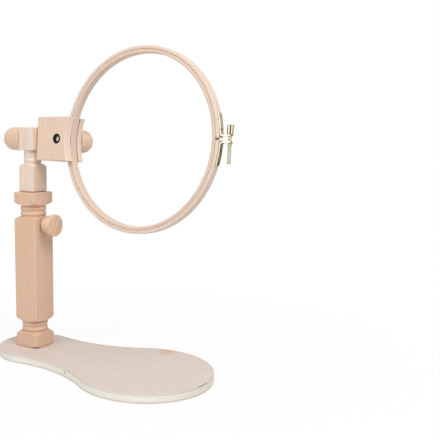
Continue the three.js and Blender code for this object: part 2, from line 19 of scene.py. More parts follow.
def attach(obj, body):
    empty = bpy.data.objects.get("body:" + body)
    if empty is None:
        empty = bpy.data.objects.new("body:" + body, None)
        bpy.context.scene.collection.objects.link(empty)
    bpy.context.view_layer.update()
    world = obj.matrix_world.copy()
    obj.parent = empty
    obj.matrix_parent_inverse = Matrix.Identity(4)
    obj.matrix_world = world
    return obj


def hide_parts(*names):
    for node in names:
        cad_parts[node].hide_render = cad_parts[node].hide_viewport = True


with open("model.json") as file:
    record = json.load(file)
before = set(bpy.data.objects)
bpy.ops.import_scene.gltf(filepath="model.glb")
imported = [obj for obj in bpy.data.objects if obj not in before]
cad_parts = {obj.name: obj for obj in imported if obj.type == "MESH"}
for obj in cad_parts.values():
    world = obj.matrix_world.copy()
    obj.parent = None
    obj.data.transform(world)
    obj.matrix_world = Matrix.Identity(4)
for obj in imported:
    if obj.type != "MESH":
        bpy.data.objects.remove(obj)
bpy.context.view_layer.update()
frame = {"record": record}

bl_info = {
    "name": "Embroidery hoop on a seat stand",
    "version": (1, 0, 0),
    "blender": (4, 5, 0),
    "location": "View3D > Sidebar > Hoop stand",
    "description": "Builds the finished pieces of a wooden embroidery hoop and its stand",
    "category": "Object",
}

MM = 0.001
GAP = 0.3 * MM  # running gap between neighbouring pieces
OVERCUT = 1 * MM  # how far a cutter reaches past the face it opens
TINY = 1e-7


def in_mm(**lengths):
    """Lengths given in millimetres."""
    return SimpleNamespace(**{name: value * MM for name, value in lengths.items()})


record = frame["record"]
BODY_OF = {node: body for body, nodes in record["behaviour"]["bodies"].items() for node in nodes}

# Fixed sizes and places, shared with the solid model

SWIVEL = math.radians(-2.8)
CLAMP_TILT = math.radians(5.1)
HOOP_TURN = math.radians(1.05)
NARROW_END_X = 2 * MM
FOOT_BLOCK = 16.2 * MM
COLLAR_BLOCK = 14.4 * MM
HEAD_BAR = 29.3 * MM
EYE_BLOCK = 24 * MM
BEAD_WIDTH = 5.2 * MM
BEADS_PER_NECK = 2
ROD_RADIUS = 8 * MM
ROD_LENGTH = 100 * MM
TENON_RADIUS = 6 * MM
TENON_LENGTH = 20 * MM
BORE_SPARE = 3 * MM
BASE_SCREW = in_mm(radius=2, head=4, depth=2.4, recess=0.4, length=30)
BASE_SCREW_X = {"base_screw_left": -9 * MM, "base_screw_right": 9 * MM}
LOCK_DROP = 8.5 * MM  # below the top of the post's body
LOCK_KNOB_BACK = 2.9 * MM  # from the post's face
LOCK_STUD = in_mm(radius=3, depth=9)  # depth inside its knob, like the next two
PIVOT_STUD = in_mm(radius=2.5, depth=14)
CLAMP_SCREW = in_mm(radius=3, depth=13)
INSERT_WALL = 1 * MM
INSERT_SETBACK = 0.8 * MM  # from the rod's bore
CLAMP_INSERT_WALL = 1.5 * MM
CLAMP_INSERT_LENGTH = 7 * MM
JAW_REACH = 31.9 * MM  # from the front jaw's start to the rim's outside
FRONT_JAW_LAP = 0.8 * MM  # past the rim's inside
REAR_JAW_SETBACK = 7.2 * MM
HEEL_LENGTH = 8 * MM
CLAMP_SCREW_TO_RIM = 1.3 * MM
DOME_FULLNESS = 2.5  # 2 is half a ball, more is squarer
EAR_SPACING = 6 * MM  # between the middles of the two ears
EAR_HEIGHT = 11 * MM
STRAP_LENGTH = 19.8 * MM
STRAP_BEND = 1.6 * MM
NEAR_NAIL_INSET = 6 * MM  # from the ear
FAR_NAIL_INSET = 2.4 * MM  # from the strap's end
NAIL = in_mm(radius=0.6, head=1.3, height=0.7, depth=2.2)
TENSION_AXIS = 8.9 * MM  # from the rim's outside
TENSION_RADIUS = 1.5 * MM
TENSION_TAIL = 17.6 * MM  # past the lower ear
TENSION_HEAD = in_mm(radius=2.9, length=8.2, slot=0.8, slot_depth=1.2)
NUT_WALL = 0.3 * MM
NUT_LENGTH = 2 * MM

# Fine forms, most of them plainer in the solid model

POST_NECK = in_mm(groove=12.4, bead=1.2, rise=4.3, upper_rise=4.3, below=0.2, above=0.2)
HEAD_NECK = in_mm(groove=8.6, bead=0.8, rise=4, upper_rise=1, below=0.8, above=2.2)
SHOULDER_BULGE = 0.11  # how far the turned shoulders swell out of a straight cone, in rises
END_EASE = 1 * MM  # rounding of the square stock's cut ends
FOOT_HOLLOW = in_mm(width=3.8, depth=5, height=1.8, inset=1)
WAIST_HOLE = SimpleNamespace(place=Vector((76.6, -43.9, 5)) * MM, radius=0.9 * MM, depth=2.4 * MM)
TORN_LINE = in_mm(half_length=7.5, low=7.7, high=8.7, depth=1.2)
TORN_LINE_TURN = math.radians(-3.5)
FACE_VENEER = 1.5 * MM
GLUE_LINE = in_mm(width=0.3, dip=0.12)
CROSS_RECESS = in_mm(arm=2.2, half_width=0.5, depth=1.5)
LOCK_KNOB = in_mm(back=8.4, swell=0.9, swell_height=3, lip=0.5, lip_height=1.5, rim=4, edge=1.1)
PIVOT_KNOB_EDGE = 0.8 * MM
CLAMP_KNOB_EDGE = 2.4 * MM
INSERT_LIP = 0.5 * MM
SMALL_EDGE = in_mm(base_screw=0.2, lift_rod=0.6, lock_insert=0.25, clamp_insert=0.4, heel=0.5, nut=0.12)
STUD_POINT = 1 * MM
TENSION_POINT = 0.8 * MM
NUT_GAP = 0.05 * MM
CLAMP_TIP_SUNK = 1.8 * MM
REAR_JAW_LAP = -1 * MM  # the rear jaw stops short of the rim's inside
JAW_HOLLOW = 62 * MM  # radius of the jaws' hollow ends, smaller than the hoop's
JAW_SEAM = 0.5 * MM  # opens the dark line between the eye block and the front jaw
REAR_RELIEF = in_mm(contact=1.4, depth=2.6)  # opens a dark gap behind the rim
FRONT_RELIEF = in_mm(reach=5, height=24, depth=0.9)
RING_SEAM = 0.12 * MM  # between the two rings
EAR_CORNER = 1.1 * MM
SHEET_EDGE = 0.14 * MM
NAIL_TIP = 0.6 * MM
FLUTES = 6
POINTS_PER_FLUTE = 16
FLUTE_DEPTH = 0.7 * MM
FIRST_FLUTE = math.radians(-62)
WOOD_THREAD = in_mm(pitch=1.6, depth=0.35)
M6_THREAD = in_mm(pitch=1, depth=0.4)
M5_THREAD = in_mm(pitch=0.8, depth=0.3)
TENSION_THREAD = in_mm(pitch=0.8, depth=0.1)  # coarser than the real one, so that it shows

# Facets of round shapes

TURNING_SIDES = 96
RING_SIDES = 240
SMALL_SIDES = 32
NAIL_SIDES = 20
NAIL_HOLE_SIDES = 12
BOARD_ARC_STEPS = 48
JAW_ARC_STEPS = 32
EASE_STEPS = 4
LONGEST_EASE = 0.45  # share of a side that the rounding of one corner may take
SMOOTH_ANGLE = math.radians(32)


def linear_colour(code):
    """An sRGB hex colour as linear red, green and blue."""
    shares = [int(code[i:i + 2], 16) / 255 for i in (0, 2, 4)]
    return [share / 12.92 if share <= 0.04045 else ((share + 0.055) / 1.055) ** 2.4 for share in shares]


def length(name, description, millimetres):
    """A length that a user may change."""
    return FloatProperty(
        name=name, description=description, default=millimetres * MM, min=0, precision=5, unit="LENGTH"
    )


def colour(name, description, code):
    """A colour that a user may change."""
    return FloatVectorProperty(
        name=name, description=description, default=linear_colour(code), size=3, min=0, max=1,
        subtype="COLOR",
    )


class StandSizes(PropertyGroup):
    """Sizes of the board, the post and the head."""

    board_thickness: length("Board thickness", "Plywood from underside to top", 9)
    narrow_end: length("Narrow end", "Radius of the board's end under the post", 40)
    wide_end: length("Wide end", "Radius of the paddle", 66.7)
    wide_end_x: length("Paddle distance", "From the post's axis to the paddle's middle", 139.7)
    waist: length("Waist", "Radius of the hollow arcs between the two ends", 138)
    board_edge: length("Board edge", "Rounding of the board's edges", 0.7)
    post_side: length("Post side", "Side of the post's square stock", 29)
    post_body: length("Post body", "Length of the post between its two necks", 112.2)
    head_side: length("Head side", "Side of the head's square stock", 21)
    corner_ease: length("Corner ease", "Rounding of the square stock's corners", 1.8)
    foot_ease: length("Foot ease", "Rounding of the foot block's worn near corner", 5)
    lock_knob: length("Lock knob", "Radius of the lock knob's rim", 11.4)
    lock_knob_length: length("Lock knob length", "From the knob's back to its face", 13.2)


class ClampSizes(PropertyGroup):
    """Sizes of the clamp and its knobs."""

    jaw_thickness: length("Jaw thickness", "Thickness of both jaws", 9.5)
    jaw_half_height: length("Jaw half height", "From the pivot's axis to a jaw's top", 22)
    jaw_edge: length("Jaw edge", "Rounding of the jaws' edges", 0.8)
    pivot_knob: length("Pivot knob", "Radius of the pivot knob", 12.2)
    pivot_knob_straight: length("Pivot knob side", "Straight stretch before the dome", 12.9)
    clamp_knob: length("Clamp knob", "Radius of the clamp knob", 12)
    clamp_knob_straight: length("Clamp knob side", "Straight stretch before the dome", 8.6)


class HoopSizes(PropertyGroup):
    """Sizes of the rings and their fittings."""

    radius: length("Hoop radius", "Outside radius of the outer ring", 87.5)
    outer_wall: length("Outer wall", "Thickness of the outer ring", 3.4)
    inner_wall: length("Inner wall", "Thickness of the inner ring", 3)
    width: length("Ring width", "Width of both rings, front to back", 8.4)
    edge: length("Ring edge", "Rounding of the rings' edges", 0.9)
    split: length("Split", "Gap between the outer ring's ends", 2.4)
    strap_width: length("Strap width", "Width of the brackets' straps", 5)
    strap_thickness: length("Strap thickness", "Sheet thickness of the brackets", 1)


class Finishes(PropertyGroup):
    """Colours of the woods and metals."""

    beech: colour("Beech", "Post", "dab89d")
    knobs: colour("Knob beech", "Lock knob", "e2c3a9")
    turned_beech: colour("Turned beech", "Domed knobs", "e3c7b0")
    pale_beech: colour("Pale beech", "Jaws", "e0c6b1")
    # The paler colour of the jaws' hollow ends
    fresh_beech: colour("Fresh beech", "Hollow ends of the jaws", "ead3c0")
    head_beech: colour("Head beech", "Head", "e6d2c2")
    bent_beech: colour("Bent beech", "Outer ring", "dec9ba")
    inner_beech: colour("Inner beech", "Inner ring", "dcc3b1")
    veneer: colour("Veneer", "Faces of the board", "d6c8bf")
    sawn_veneer: colour("Sawn veneer", "Edges of the board's faces", "d6d0c6")
    glue_line: colour("Glue line", "Lines between the board's plies", "c9c0b0")
    core: colour("Core", "Middle ply of the board", "e9e5da")
    # Painted shade: the brass's colour where shade falls on it
    shaded_brass: colour("Browned brass", "Brass where it is tarnished", "4d3f25")
    brass: colour("Brass", "Plain faces of the brackets, nails and tension screw", "b2aa90")
    # Painted highlight: the brass's colour where highlights fall on it
    highlit_brass: colour("Bright brass", "Brass where it is rubbed", "f5eac8")
    steel: colour("Steel", "Studs and screws", "e2e2de")
    black: colour("Black", "Insert in the front jaw", "2b241f")


def sizes():
    """The stand's, the clamp's and the hoop's sizes."""
    scene = bpy.context.scene
    return scene.hoop_stand, scene.hoop_clamp, scene.hoop_rings


# Places worked out from the sizes


def heights():
    """Heights up the post and the head."""
    stand, _, _ = sizes()
    post_neck, head_neck = [
        neck.below + BEADS_PER_NECK * BEAD_WIDTH + neck.above for neck in (POST_NECK, HEAD_NECK)
    ]
    h = SimpleNamespace(board_top=stand.board_thickness)
    h.foot_top = h.board_top + FOOT_BLOCK
    h.body_bottom = h.foot_top + post_neck
    h.body_top = h.body_bottom + stand.post_body
    h.collar_bottom = h.body_top + post_neck
    h.collar_top = h.collar_bottom + COLLAR_BLOCK
    h.head_bottom = h.collar_top + GAP
    h.bar_top = h.head_bottom + HEAD_BAR
    h.eye_bottom = h.bar_top + head_neck
    h.eye_top = h.eye_bottom + EYE_BLOCK
    h.pivot = (h.eye_bottom + h.eye_top) / 2
    h.lock = h.body_top - LOCK_DROP
    h.rod_bottom = h.collar_top - ROD_LENGTH
    return h


def clamp_places():
    """Places in the clamp: X along the pivot stud, Y backwards through the jaws."""
    stand, clamp, hoop = sizes()
    c = SimpleNamespace(jaw_start=stand.head_side / 2 + GAP, jaw_back=clamp.jaw_thickness / 2)
    c.rim_front = c.jaw_back + GAP
    c.rear_front = c.rim_front + hoop.width + GAP
    c.rear_back = c.rear_front + clamp.jaw_thickness
    c.rear_start = c.jaw_start + REAR_JAW_SETBACK
    c.rim_start = c.jaw_start + JAW_REACH
    c.hoop_x = c.rim_start + hoop.radius
    c.hoop_y = c.rim_front + hoop.width / 2
    c.screw_x = c.rim_start - CLAMP_SCREW_TO_RIM - CLAMP_SCREW.radius
    c.knob_base = c.rear_back + GAP
    c.insert_radius = CLAMP_SCREW.radius + GAP + CLAMP_INSERT_WALL
    return c


def hoop_places():
    """Radii of the hoop and the angles of its fittings, from the split."""
    _, _, hoop = sizes()
    p = SimpleNamespace(split_radius=hoop.radius - hoop.outer_wall, strap=hoop.radius + GAP)
    p.inner_inside = p.split_radius - GAP - hoop.inner_wall
    p.ear_tip = hoop.radius + EAR_HEIGHT
    p.screw_x = hoop.radius + TENSION_AXIS
    ear = math.asin(EAR_SPACING / 2 / p.strap)
    p.strap_end = ear + STRAP_LENGTH / p.strap
    p.near_nail = ear + NEAR_NAIL_INSET / p.strap
    p.far_nail = p.strap_end - FAR_NAIL_INSET / p.strap
    p.head_seat = EAR_SPACING / 2 + hoop.strap_thickness / 2 + GAP
    return p


def nail_angles():
    """The angle of each nail from the split."""
    p = hoop_places()
    return {
        "nail_upper_near": p.near_nail,
        "nail_upper_far": p.far_nail,
        "nail_lower_near": -p.near_nail,
        "nail_lower_far": -p.far_nail,
    }


def swivel_frame():
    """Turns with the head about the rod."""
    return Matrix.Rotation(SWIVEL, 4, "Z")


def pivot_frame():
    """On the pivot stud's axis, level."""
    return swivel_frame() @ Matrix.Translation((0, 0, heights().pivot))


def clamp_frame():
    """Leans back about the pivot stud."""
    return pivot_frame() @ Matrix.Rotation(-CLAMP_TILT, 4, "X")


def hoop_frame():
    """About the hoop's own axis: X towards the split, Z out of its front face."""
    places = clamp_places()
    middle = Matrix.Translation((places.hoop_x, places.hoop_y, 0))
    return clamp_frame() @ middle @ Matrix.Rotation(math.pi / 2, 4, "X") @ Matrix.Rotation(HOOP_TURN, 4, "Z")


# Turns a body made along Z so that it points along +X, -X, +Y or -Y

ALONG_X = Matrix.Rotation(math.pi / 2, 4, "Y")
ALONG_MINUS_X = Matrix.Rotation(-math.pi / 2, 4, "Y")
ALONG_Y = Matrix.Rotation(-math.pi / 2, 4, "X")
ALONG_MINUS_Y = Matrix.Rotation(math.pi / 2, 4, "X")

# Mesh making


def mesh_of(points, faces):
    """A mesh from its points and faces."""
    mesh = bpy.data.meshes.new("made")
    mesh.from_pydata(points, [], faces)
    mesh.validate()
    return mesh


def moved(mesh, *steps):
    """The mesh after these moves, the last one first."""
    for step in reversed(steps):
        mesh.transform(step)
    return mesh


def arc(x, y, radius, start, end, steps):
    """Points along an arc."""
    turns = [start + (end - start) * step / steps for step in range(steps + 1)]
    return [(x + radius * math.cos(turn), y + radius * math.sin(turn)) for turn in turns]


def polar(reach, turn, height):
    """The point at this reach from Z, turn about it and height."""
    return (reach * math.cos(turn), reach * math.sin(turn), height)


def eased(path, reach, closed=False):
    """A path of points with its corners rounded over a reach, or over a list of one reach for each."""
    made = []
    count = len(path)
    for i, place in enumerate(path):
        corner = Vector(place)
        if not closed and i in (0, count - 1):
            made.append(tuple(corner))
            continue
        own = reach[i] if isinstance(reach, (list, tuple)) else reach
        ends = []
        for other in (path[i - 1], path[(i + 1) % count]):
            away = Vector(other) - corner
            ends.append(corner + away.normalized() * min(own, LONGEST_EASE * away.length))
        for step in range(EASE_STEPS + 1):
            share = step / EASE_STEPS
            point = ends[0] * (1 - share) ** 2 + corner * (2 * share * (1 - share)) + ends[1] * share ** 2
            made.append(tuple(point))
    return made


def rows_of_rings(rings, closed=False, capped=False):
    """A body from rings of points, lowest first. A ring of one point is a tip on the axis."""
    points, rows, faces = [], [], []
    sides = max(len(ring) for ring in rings)
    for ring in rings:
        first = len(points)
        points.extend(ring)
        rows.append([first] * sides if len(ring) == 1 else list(range(first, first + sides)))
    pairs = list(zip(rows, rows[1:]))
    if closed:
        pairs.append((rows[-1], rows[0]))
    for low, high in pairs:
        for side in range(sides):
            after = (side + 1) % sides
            face = list(dict.fromkeys((low[side], low[after], high[after], high[side])))
            if len(face) > 2:
                faces.append(face)
    if capped:
        faces += [rows[0][::-1], rows[-1]]
    return mesh_of(points, faces)


def round_ring(radius, height, sides):
    """Points round Z, or the one point on the axis."""
    if radius < TINY:
        return [(0, 0, height)]
    return [polar(radius, 2 * math.pi * side / sides, height) for side in range(sides)]


def turned(profile, sides=TURNING_SIDES, closed=False):
    """A body turned about Z from (radius, height) points, from axis to axis or closed on itself."""
    return rows_of_rings([round_ring(radius, height, sides) for radius, height in profile], closed)


def bar(radius, low, high, sides=SMALL_SIDES):
    """A plain round bar along Z, for cutting holes."""
    return turned([(0, low), (radius, low), (radius, high), (0, high)], sides)


def sleeve(inner, outer, low, high, edge, sides=SMALL_SIDES):
    """A sleeve along Z with eased edges."""
    path = eased([(inner, low), (outer, low), (outer, high), (inner, high)], edge, closed=True)
    return turned(path, sides, closed=True)


def threaded(radius, thread, low, high, point=0.0):
    """A round bar along Z with a rolled thread, chamfered at its low end over the given length."""
    rows_per_turn = 6
    chamfer_depth = 1.5  # in depths of the thread
    count = max(8, round((high - low) / thread.pitch * rows_per_turn))
    rings = [[(0, 0, low)]]
    for row in range(count + 1):
        height = low + (high - low) * row / count
        ring = []
        for side in range(SMALL_SIDES):
            share = side / SMALL_SIDES
            wave = 0.5 - 0.5 * math.cos(2 * math.pi * ((height - low) / thread.pitch - share))
            reach = radius - thread.depth * wave
            if point:
                reach -= max(0, 1 - (height - low) / point) * thread.depth * chamfer_depth
            ring.append(polar(reach, 2 * math.pi * share, height))
        rings.append(ring)
    rings.append([(0, 0, high)])
    return rows_of_rings(rings)


def prism(outline, low, high):
    """An outline in X and Y, counterclockwise, raised from low to high."""
    count = len(outline)
    points = [(x, y, low) for x, y in outline] + [(x, y, high) for x, y in outline]
    faces = [list(range(count - 1, -1, -1)), list(range(count, 2 * count))]
    for i in range(count):
        after = (i + 1) % count
        faces.append([i, after, count + after, count + i])
    return mesh_of(points, faces)


def block(low, high):
    """A rectangular block between two corners, for cutting."""
    outline = [(low[0], low[1]), (high[0], low[1]), (high[0], high[1]), (low[0], high[1])]
    return prism(outline, low[2], high[2])


def with_eased_edges(mesh, reach, chosen=None, steps=3):
    """The mesh with its sharp edges, or the chosen ones, rounded."""
    bm = bmesh.new()
    bm.from_mesh(mesh)
    if chosen:
        edges = [e for e in bm.edges if chosen(e.verts[0].co, e.verts[1].co)]
    else:
        edges = [e for e in bm.edges if len(e.link_faces) == 2 and e.calc_face_angle() > SMOOTH_ANGLE]
    bmesh.ops.bevel(
        bm, geom=edges, offset=reach, segments=steps, profile=0.5, affect="EDGES", clamp_overlap=True
    )
    bm.to_mesh(mesh)
    bm.free()
    return mesh


def combined(mesh, tool, operation):
    """One mesh joined with another, cut by it or kept within it."""
    collection = bpy.context.scene.collection
    body = bpy.data.objects.new("body", mesh)
    other = bpy.data.objects.new("tool", tool)
    collection.objects.link(body)
    collection.objects.link(other)
    step = body.modifiers.new("step", "BOOLEAN")
    step.operation = operation
    step.solver = "EXACT"
    step.object = other
    made = bpy.data.meshes.new_from_object(body.evaluated_get(bpy.context.evaluated_depsgraph_get()))
    for used in (body, other):
        bpy.data.objects.remove(used)
    return made


def cut(mesh, *tools):
    """The mesh with these tools cut out of it."""
    for tool in tools:
        mesh = combined(mesh, tool, "DIFFERENCE")
    return mesh


AROUND = "around"  # fibres that follow a ring about Z
SIDE_DARKENING = 1.5  # how much darker and redder than cut ends a face towards the darker side is painted; painted shade on the head and the clamp knob
END_FADE = 3  # how fast the look of cut ends, and of the painted darker side, fades as a face turns away
PIECE_STEP = Vector((17, 29, 43))  # how far apart two pieces lie in the tree, in millimetres


def lay_grain(mesh, along, seed, darker_side):
    """Stores where each point lies in its wood, and how far each corner faces the cut ends of the fibres.

    along is the way the fibres run: an axis, or AROUND.
    Faces towards the given darker side are painted darker and redder, stored as strong end grain: painted
    shade on the head and the clamp knob.
    """
    place = mesh.attributes.new("grain", "FLOAT_VECTOR", "POINT")
    ends = mesh.attributes.new("end_grain", "FLOAT", "CORNER")
    shift = PIECE_STEP * (MM * seed)
    if along == AROUND:
        middle = sum((v.co.xy.length for v in mesh.vertices)) / len(mesh.vertices)
        for v in mesh.vertices:
            turn = math.atan2(v.co.y, v.co.x)
            place.data[v.index].vector = Vector((v.co.xy.length - middle, v.co.z, turn * middle)) + shift
    else:
        fibres = Vector(along).normalized()
        turn = fibres.rotation_difference(Vector((0, 0, 1)))
        for v in mesh.vertices:
            place.data[v.index].vector = turn @ v.co + shift
    for loop, corner in zip(mesh.loops, mesh.corner_normals):
        if along == AROUND:
            at = mesh.vertices[loop.vertex_index].co
            fibres = Vector((-at.y, at.x, 0)).normalized()
        cut_across = abs(corner.vector.dot(fibres)) ** END_FADE
        # The darker side is painted darker and redder like cut ends: painted shade on the head and the clamp
        # knob
        red = SIDE_DARKENING * max(0, corner.vector.dot(Vector(darker_side))) ** END_FADE
        ends.data[loop.index].value = max(cut_across, red)


def lay_sheen_and_shade(mesh, sheen_and_shade_at):
    """Stores each corner's painted shade and highlight. The given function gives 0 to 1 for a point and its
    face's normal.
    """
    wear = mesh.attributes.new("wear", "FLOAT", "CORNER")
    for face in mesh.polygons:
        for i in face.loop_indices:
            point = mesh.vertices[mesh.loops[i].vertex_index].co
            wear.data[i].value = sheen_and_shade_at(point, face.normal)


def finish_piece(node, mesh, place, materials, along=None, seed=0, darker_side=(0, 0, 0), sheen_and_shade_at=None):
    """Puts a finished piece in the scene in place of its solid, riding on the same body."""
    if not mesh.polygons:
        raise RuntimeError(f"{node} came out empty")
    for material in materials:
        mesh.materials.append(material)
    mesh.polygons.foreach_set("use_smooth", [True] * len(mesh.polygons))
    mesh.set_sharp_from_angle(angle=SMOOTH_ANGLE)
    if along:
        lay_grain(mesh, along, seed, darker_side)
    if sheen_and_shade_at:
        lay_sheen_and_shade(mesh, sheen_and_shade_at)
    piece = bpy.data.objects.new(f"{node}_finished", mesh)
    mesh.name = piece.name
    bpy.context.scene.collection.objects.link(piece)
    piece.matrix_world = place
    weighted = piece.modifiers.new("even shading", "WEIGHTED_NORMAL")
    weighted.keep_sharp = True
    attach(piece, BODY_OF[node])
    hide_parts(node)
    return piece


# Materials


class Wood(NamedTuple):
    """How a wood shows: its colour's name, growth rings, flecks of its rays, and darker cut ends that also
    carry the painted darker side.
    """

    colour: str
    ring_spacing: float
    band_share: float
    fleck_length: float
    fleck_share: float
    # Share of the cut ends' colour, also given to the painted darker side
    end_and_shade_share: float = 0.3


WOODS = {
    # Steamed beech, sawn square, turned and sanded: pinkish tan with quiet bands and short flecks
    "steamed_beech_sanded": Wood("beech", 3.4 * MM, 0.04, 6 * MM, 0.14),
    # Unsteamed beech, fine-sanded: paler and pinker, with the same quiet bands and flecks
    "pale_beech_sanded": Wood("pale_beech", 3.8 * MM, 0.05, 7 * MM, 0.1),
    # The jaws' hollow ends, band-sawn and sanded: paler than the jaws' faces
    "fresh_beech_sanded": Wood("fresh_beech", 3.8 * MM, 0.05, 7 * MM, 0.1),
    # The head's own stick of unsteamed beech: a little greyer
    "head_beech_sanded": Wood("head_beech", 6 * MM, 0.05, 7 * MM, 0.1),
    # Steamed beech turned along its grain: a little paler than the post, with quiet streaks
    "turned_beech_sanded": Wood("turned_beech", 6.5 * MM, 0.07, 6 * MM, 0.1, end_and_shade_share=0.1),
    # Steamed beech turned across its grain: the knob's face shows wide pale and dark streaks
    "streaked_beech_sanded": Wood("knobs", 7 * MM, 0.16, 6 * MM, 0.1),
    # Beech strip, steam-bent and sanded: long streaks that follow the ring
    "bent_beech_sanded": Wood("bent_beech", 2.6 * MM, 0.04, 40 * MM, 0.03),
    # The inner ring's strip: the same bent beech, browner and greyer
    "inner_beech_handled": Wood("inner_beech", 2.6 * MM, 0.04, 40 * MM, 0.03),
    # Rotary-cut hardwood veneer, sanded: a flat greyish pink with wide, cloudy figure along the board
    "rotary_veneer_sanded": Wood("veneer", 14 * MM, 0.03, 9 * MM, 0.08),
    # The sawn edge of the face veneers: a greyish cream, paler than their faces
    "sawn_veneer_ply": Wood("sawn_veneer", 5 * MM, 0.04, 4 * MM, 0.12),
    # The thin dark line where two plies meet
    "glue_line_ply": Wood("glue_line", 5 * MM, 0.04, 4 * MM, 0.2),
    # The pale middle ply, sawn across: cream, with short furry fibres along the edge
    "sawn_core_ply": Wood("core", 5 * MM, 0.04, 4 * MM, 0.12),
}

# Soft round spots in the veneer, each with its middle, its radius and its colour: a knot and a fainter one
BOARD_STAINS = (
    (Vector((131, 58, 9)) * MM, 12 * MM, "d1b59c"),
    (Vector((198, 20, 9)) * MM, 9 * MM, "dcc8b8"),
)
STAIN_CORE = 0.4  # share of a stain's radius that has its full colour
TO_PITH = (31 * MM, 47 * MM, 0)  # across the grain, from the tree's pith to a piece's origin
WANDER_PATCH = (12 * MM, 60 * MM)  # across and along the grain, like the next one
FIBRE = (0.5 * MM, 20 * MM)  # coarser than real ones, so that they show
RAY_WIDTH = 1.6 * MM
BAND_WANDER = 2.2  # in ring spacings
EARLY_WOOD = (0.3, 0.4, 0.5)  # how much paler than the wood's own red, green and blue, in band shares
LATE_WOOD = (0.5, 0.8, 1)  # how much darker
FLECK_EDGE = (0.1, 0.28)  # from a ray's full colour to none, in its cell's widths
FLECK_TONE = (0.62, 0.5, 0.4)
# Colour of cut ends, also used for the painted darker side
END_AND_SHADE_TONE = (0.8, 0.7, 0.6)
FIBRE_TONES = (0.965, 1.025)
FIBRE_ROUGHNESS = (0.62, 0.5)
FIBRE_RELIEF = 0.05 * MM
RELIEF_STRENGTH = 0.25


class Metal(NamedTuple):
    """How a plated metal shows: its colour's name, its roughness and the dull clouds on it."""

    colour: str
    roughness: float
    patch_size: float
    dark_share: float


METALS = {
    # Zinc-plated steel: pale grey, slightly clouded
    "zinc_plated_steel": Metal("steel", 0.32, 3 * MM, 0.25),
    # Steel blackened in oil: near black with a satin gleam
    "blackened_steel": Metal("black", 0.4, 2 * MM, 0.4),
}
CLOUD_TONE = (0.35, 0.35, 0.35)
CLOUD_ROUGHNESS = (0.8, 1.3)  # in the metal's own roughness, between the clouds and in them
BRASS_ROUGHNESS = 0.34


def add_node(tree, kind, inputs=None, **settings):
    """One node with its settings, its values and its links. A node as a value gives its first output."""
    node = tree.nodes.new(f"ShaderNode{kind}")
    for name, value in settings.items():
        setattr(node, name, value)
    for socket, value in (inputs or {}).items():
        if isinstance(value, bpy.types.Node):
            value = value.outputs[0]
        if isinstance(value, bpy.types.NodeSocket):
            tree.links.new(value, node.inputs[socket])
        else:
            node.inputs[socket].default_value = value
    return node


def made_once(name, surface):
    """The material of this name. At first use it is made, and its surface adds its nodes."""
    if name in bpy.data.materials:
        return bpy.data.materials[name]
    material = bpy.data.materials.new(name)
    material.use_nodes = True
    tree = material.node_tree
    tree.nodes.clear()
    add_node(tree, "OutputMaterial", {"Surface": surface(tree)})
    return material


def toned(rgb, red=1, green=1, blue=1):
    """A colour with a share of its red, green and blue, opaque."""
    return [rgb[0] * red, rgb[1] * green, rgb[2] * blue, 1]


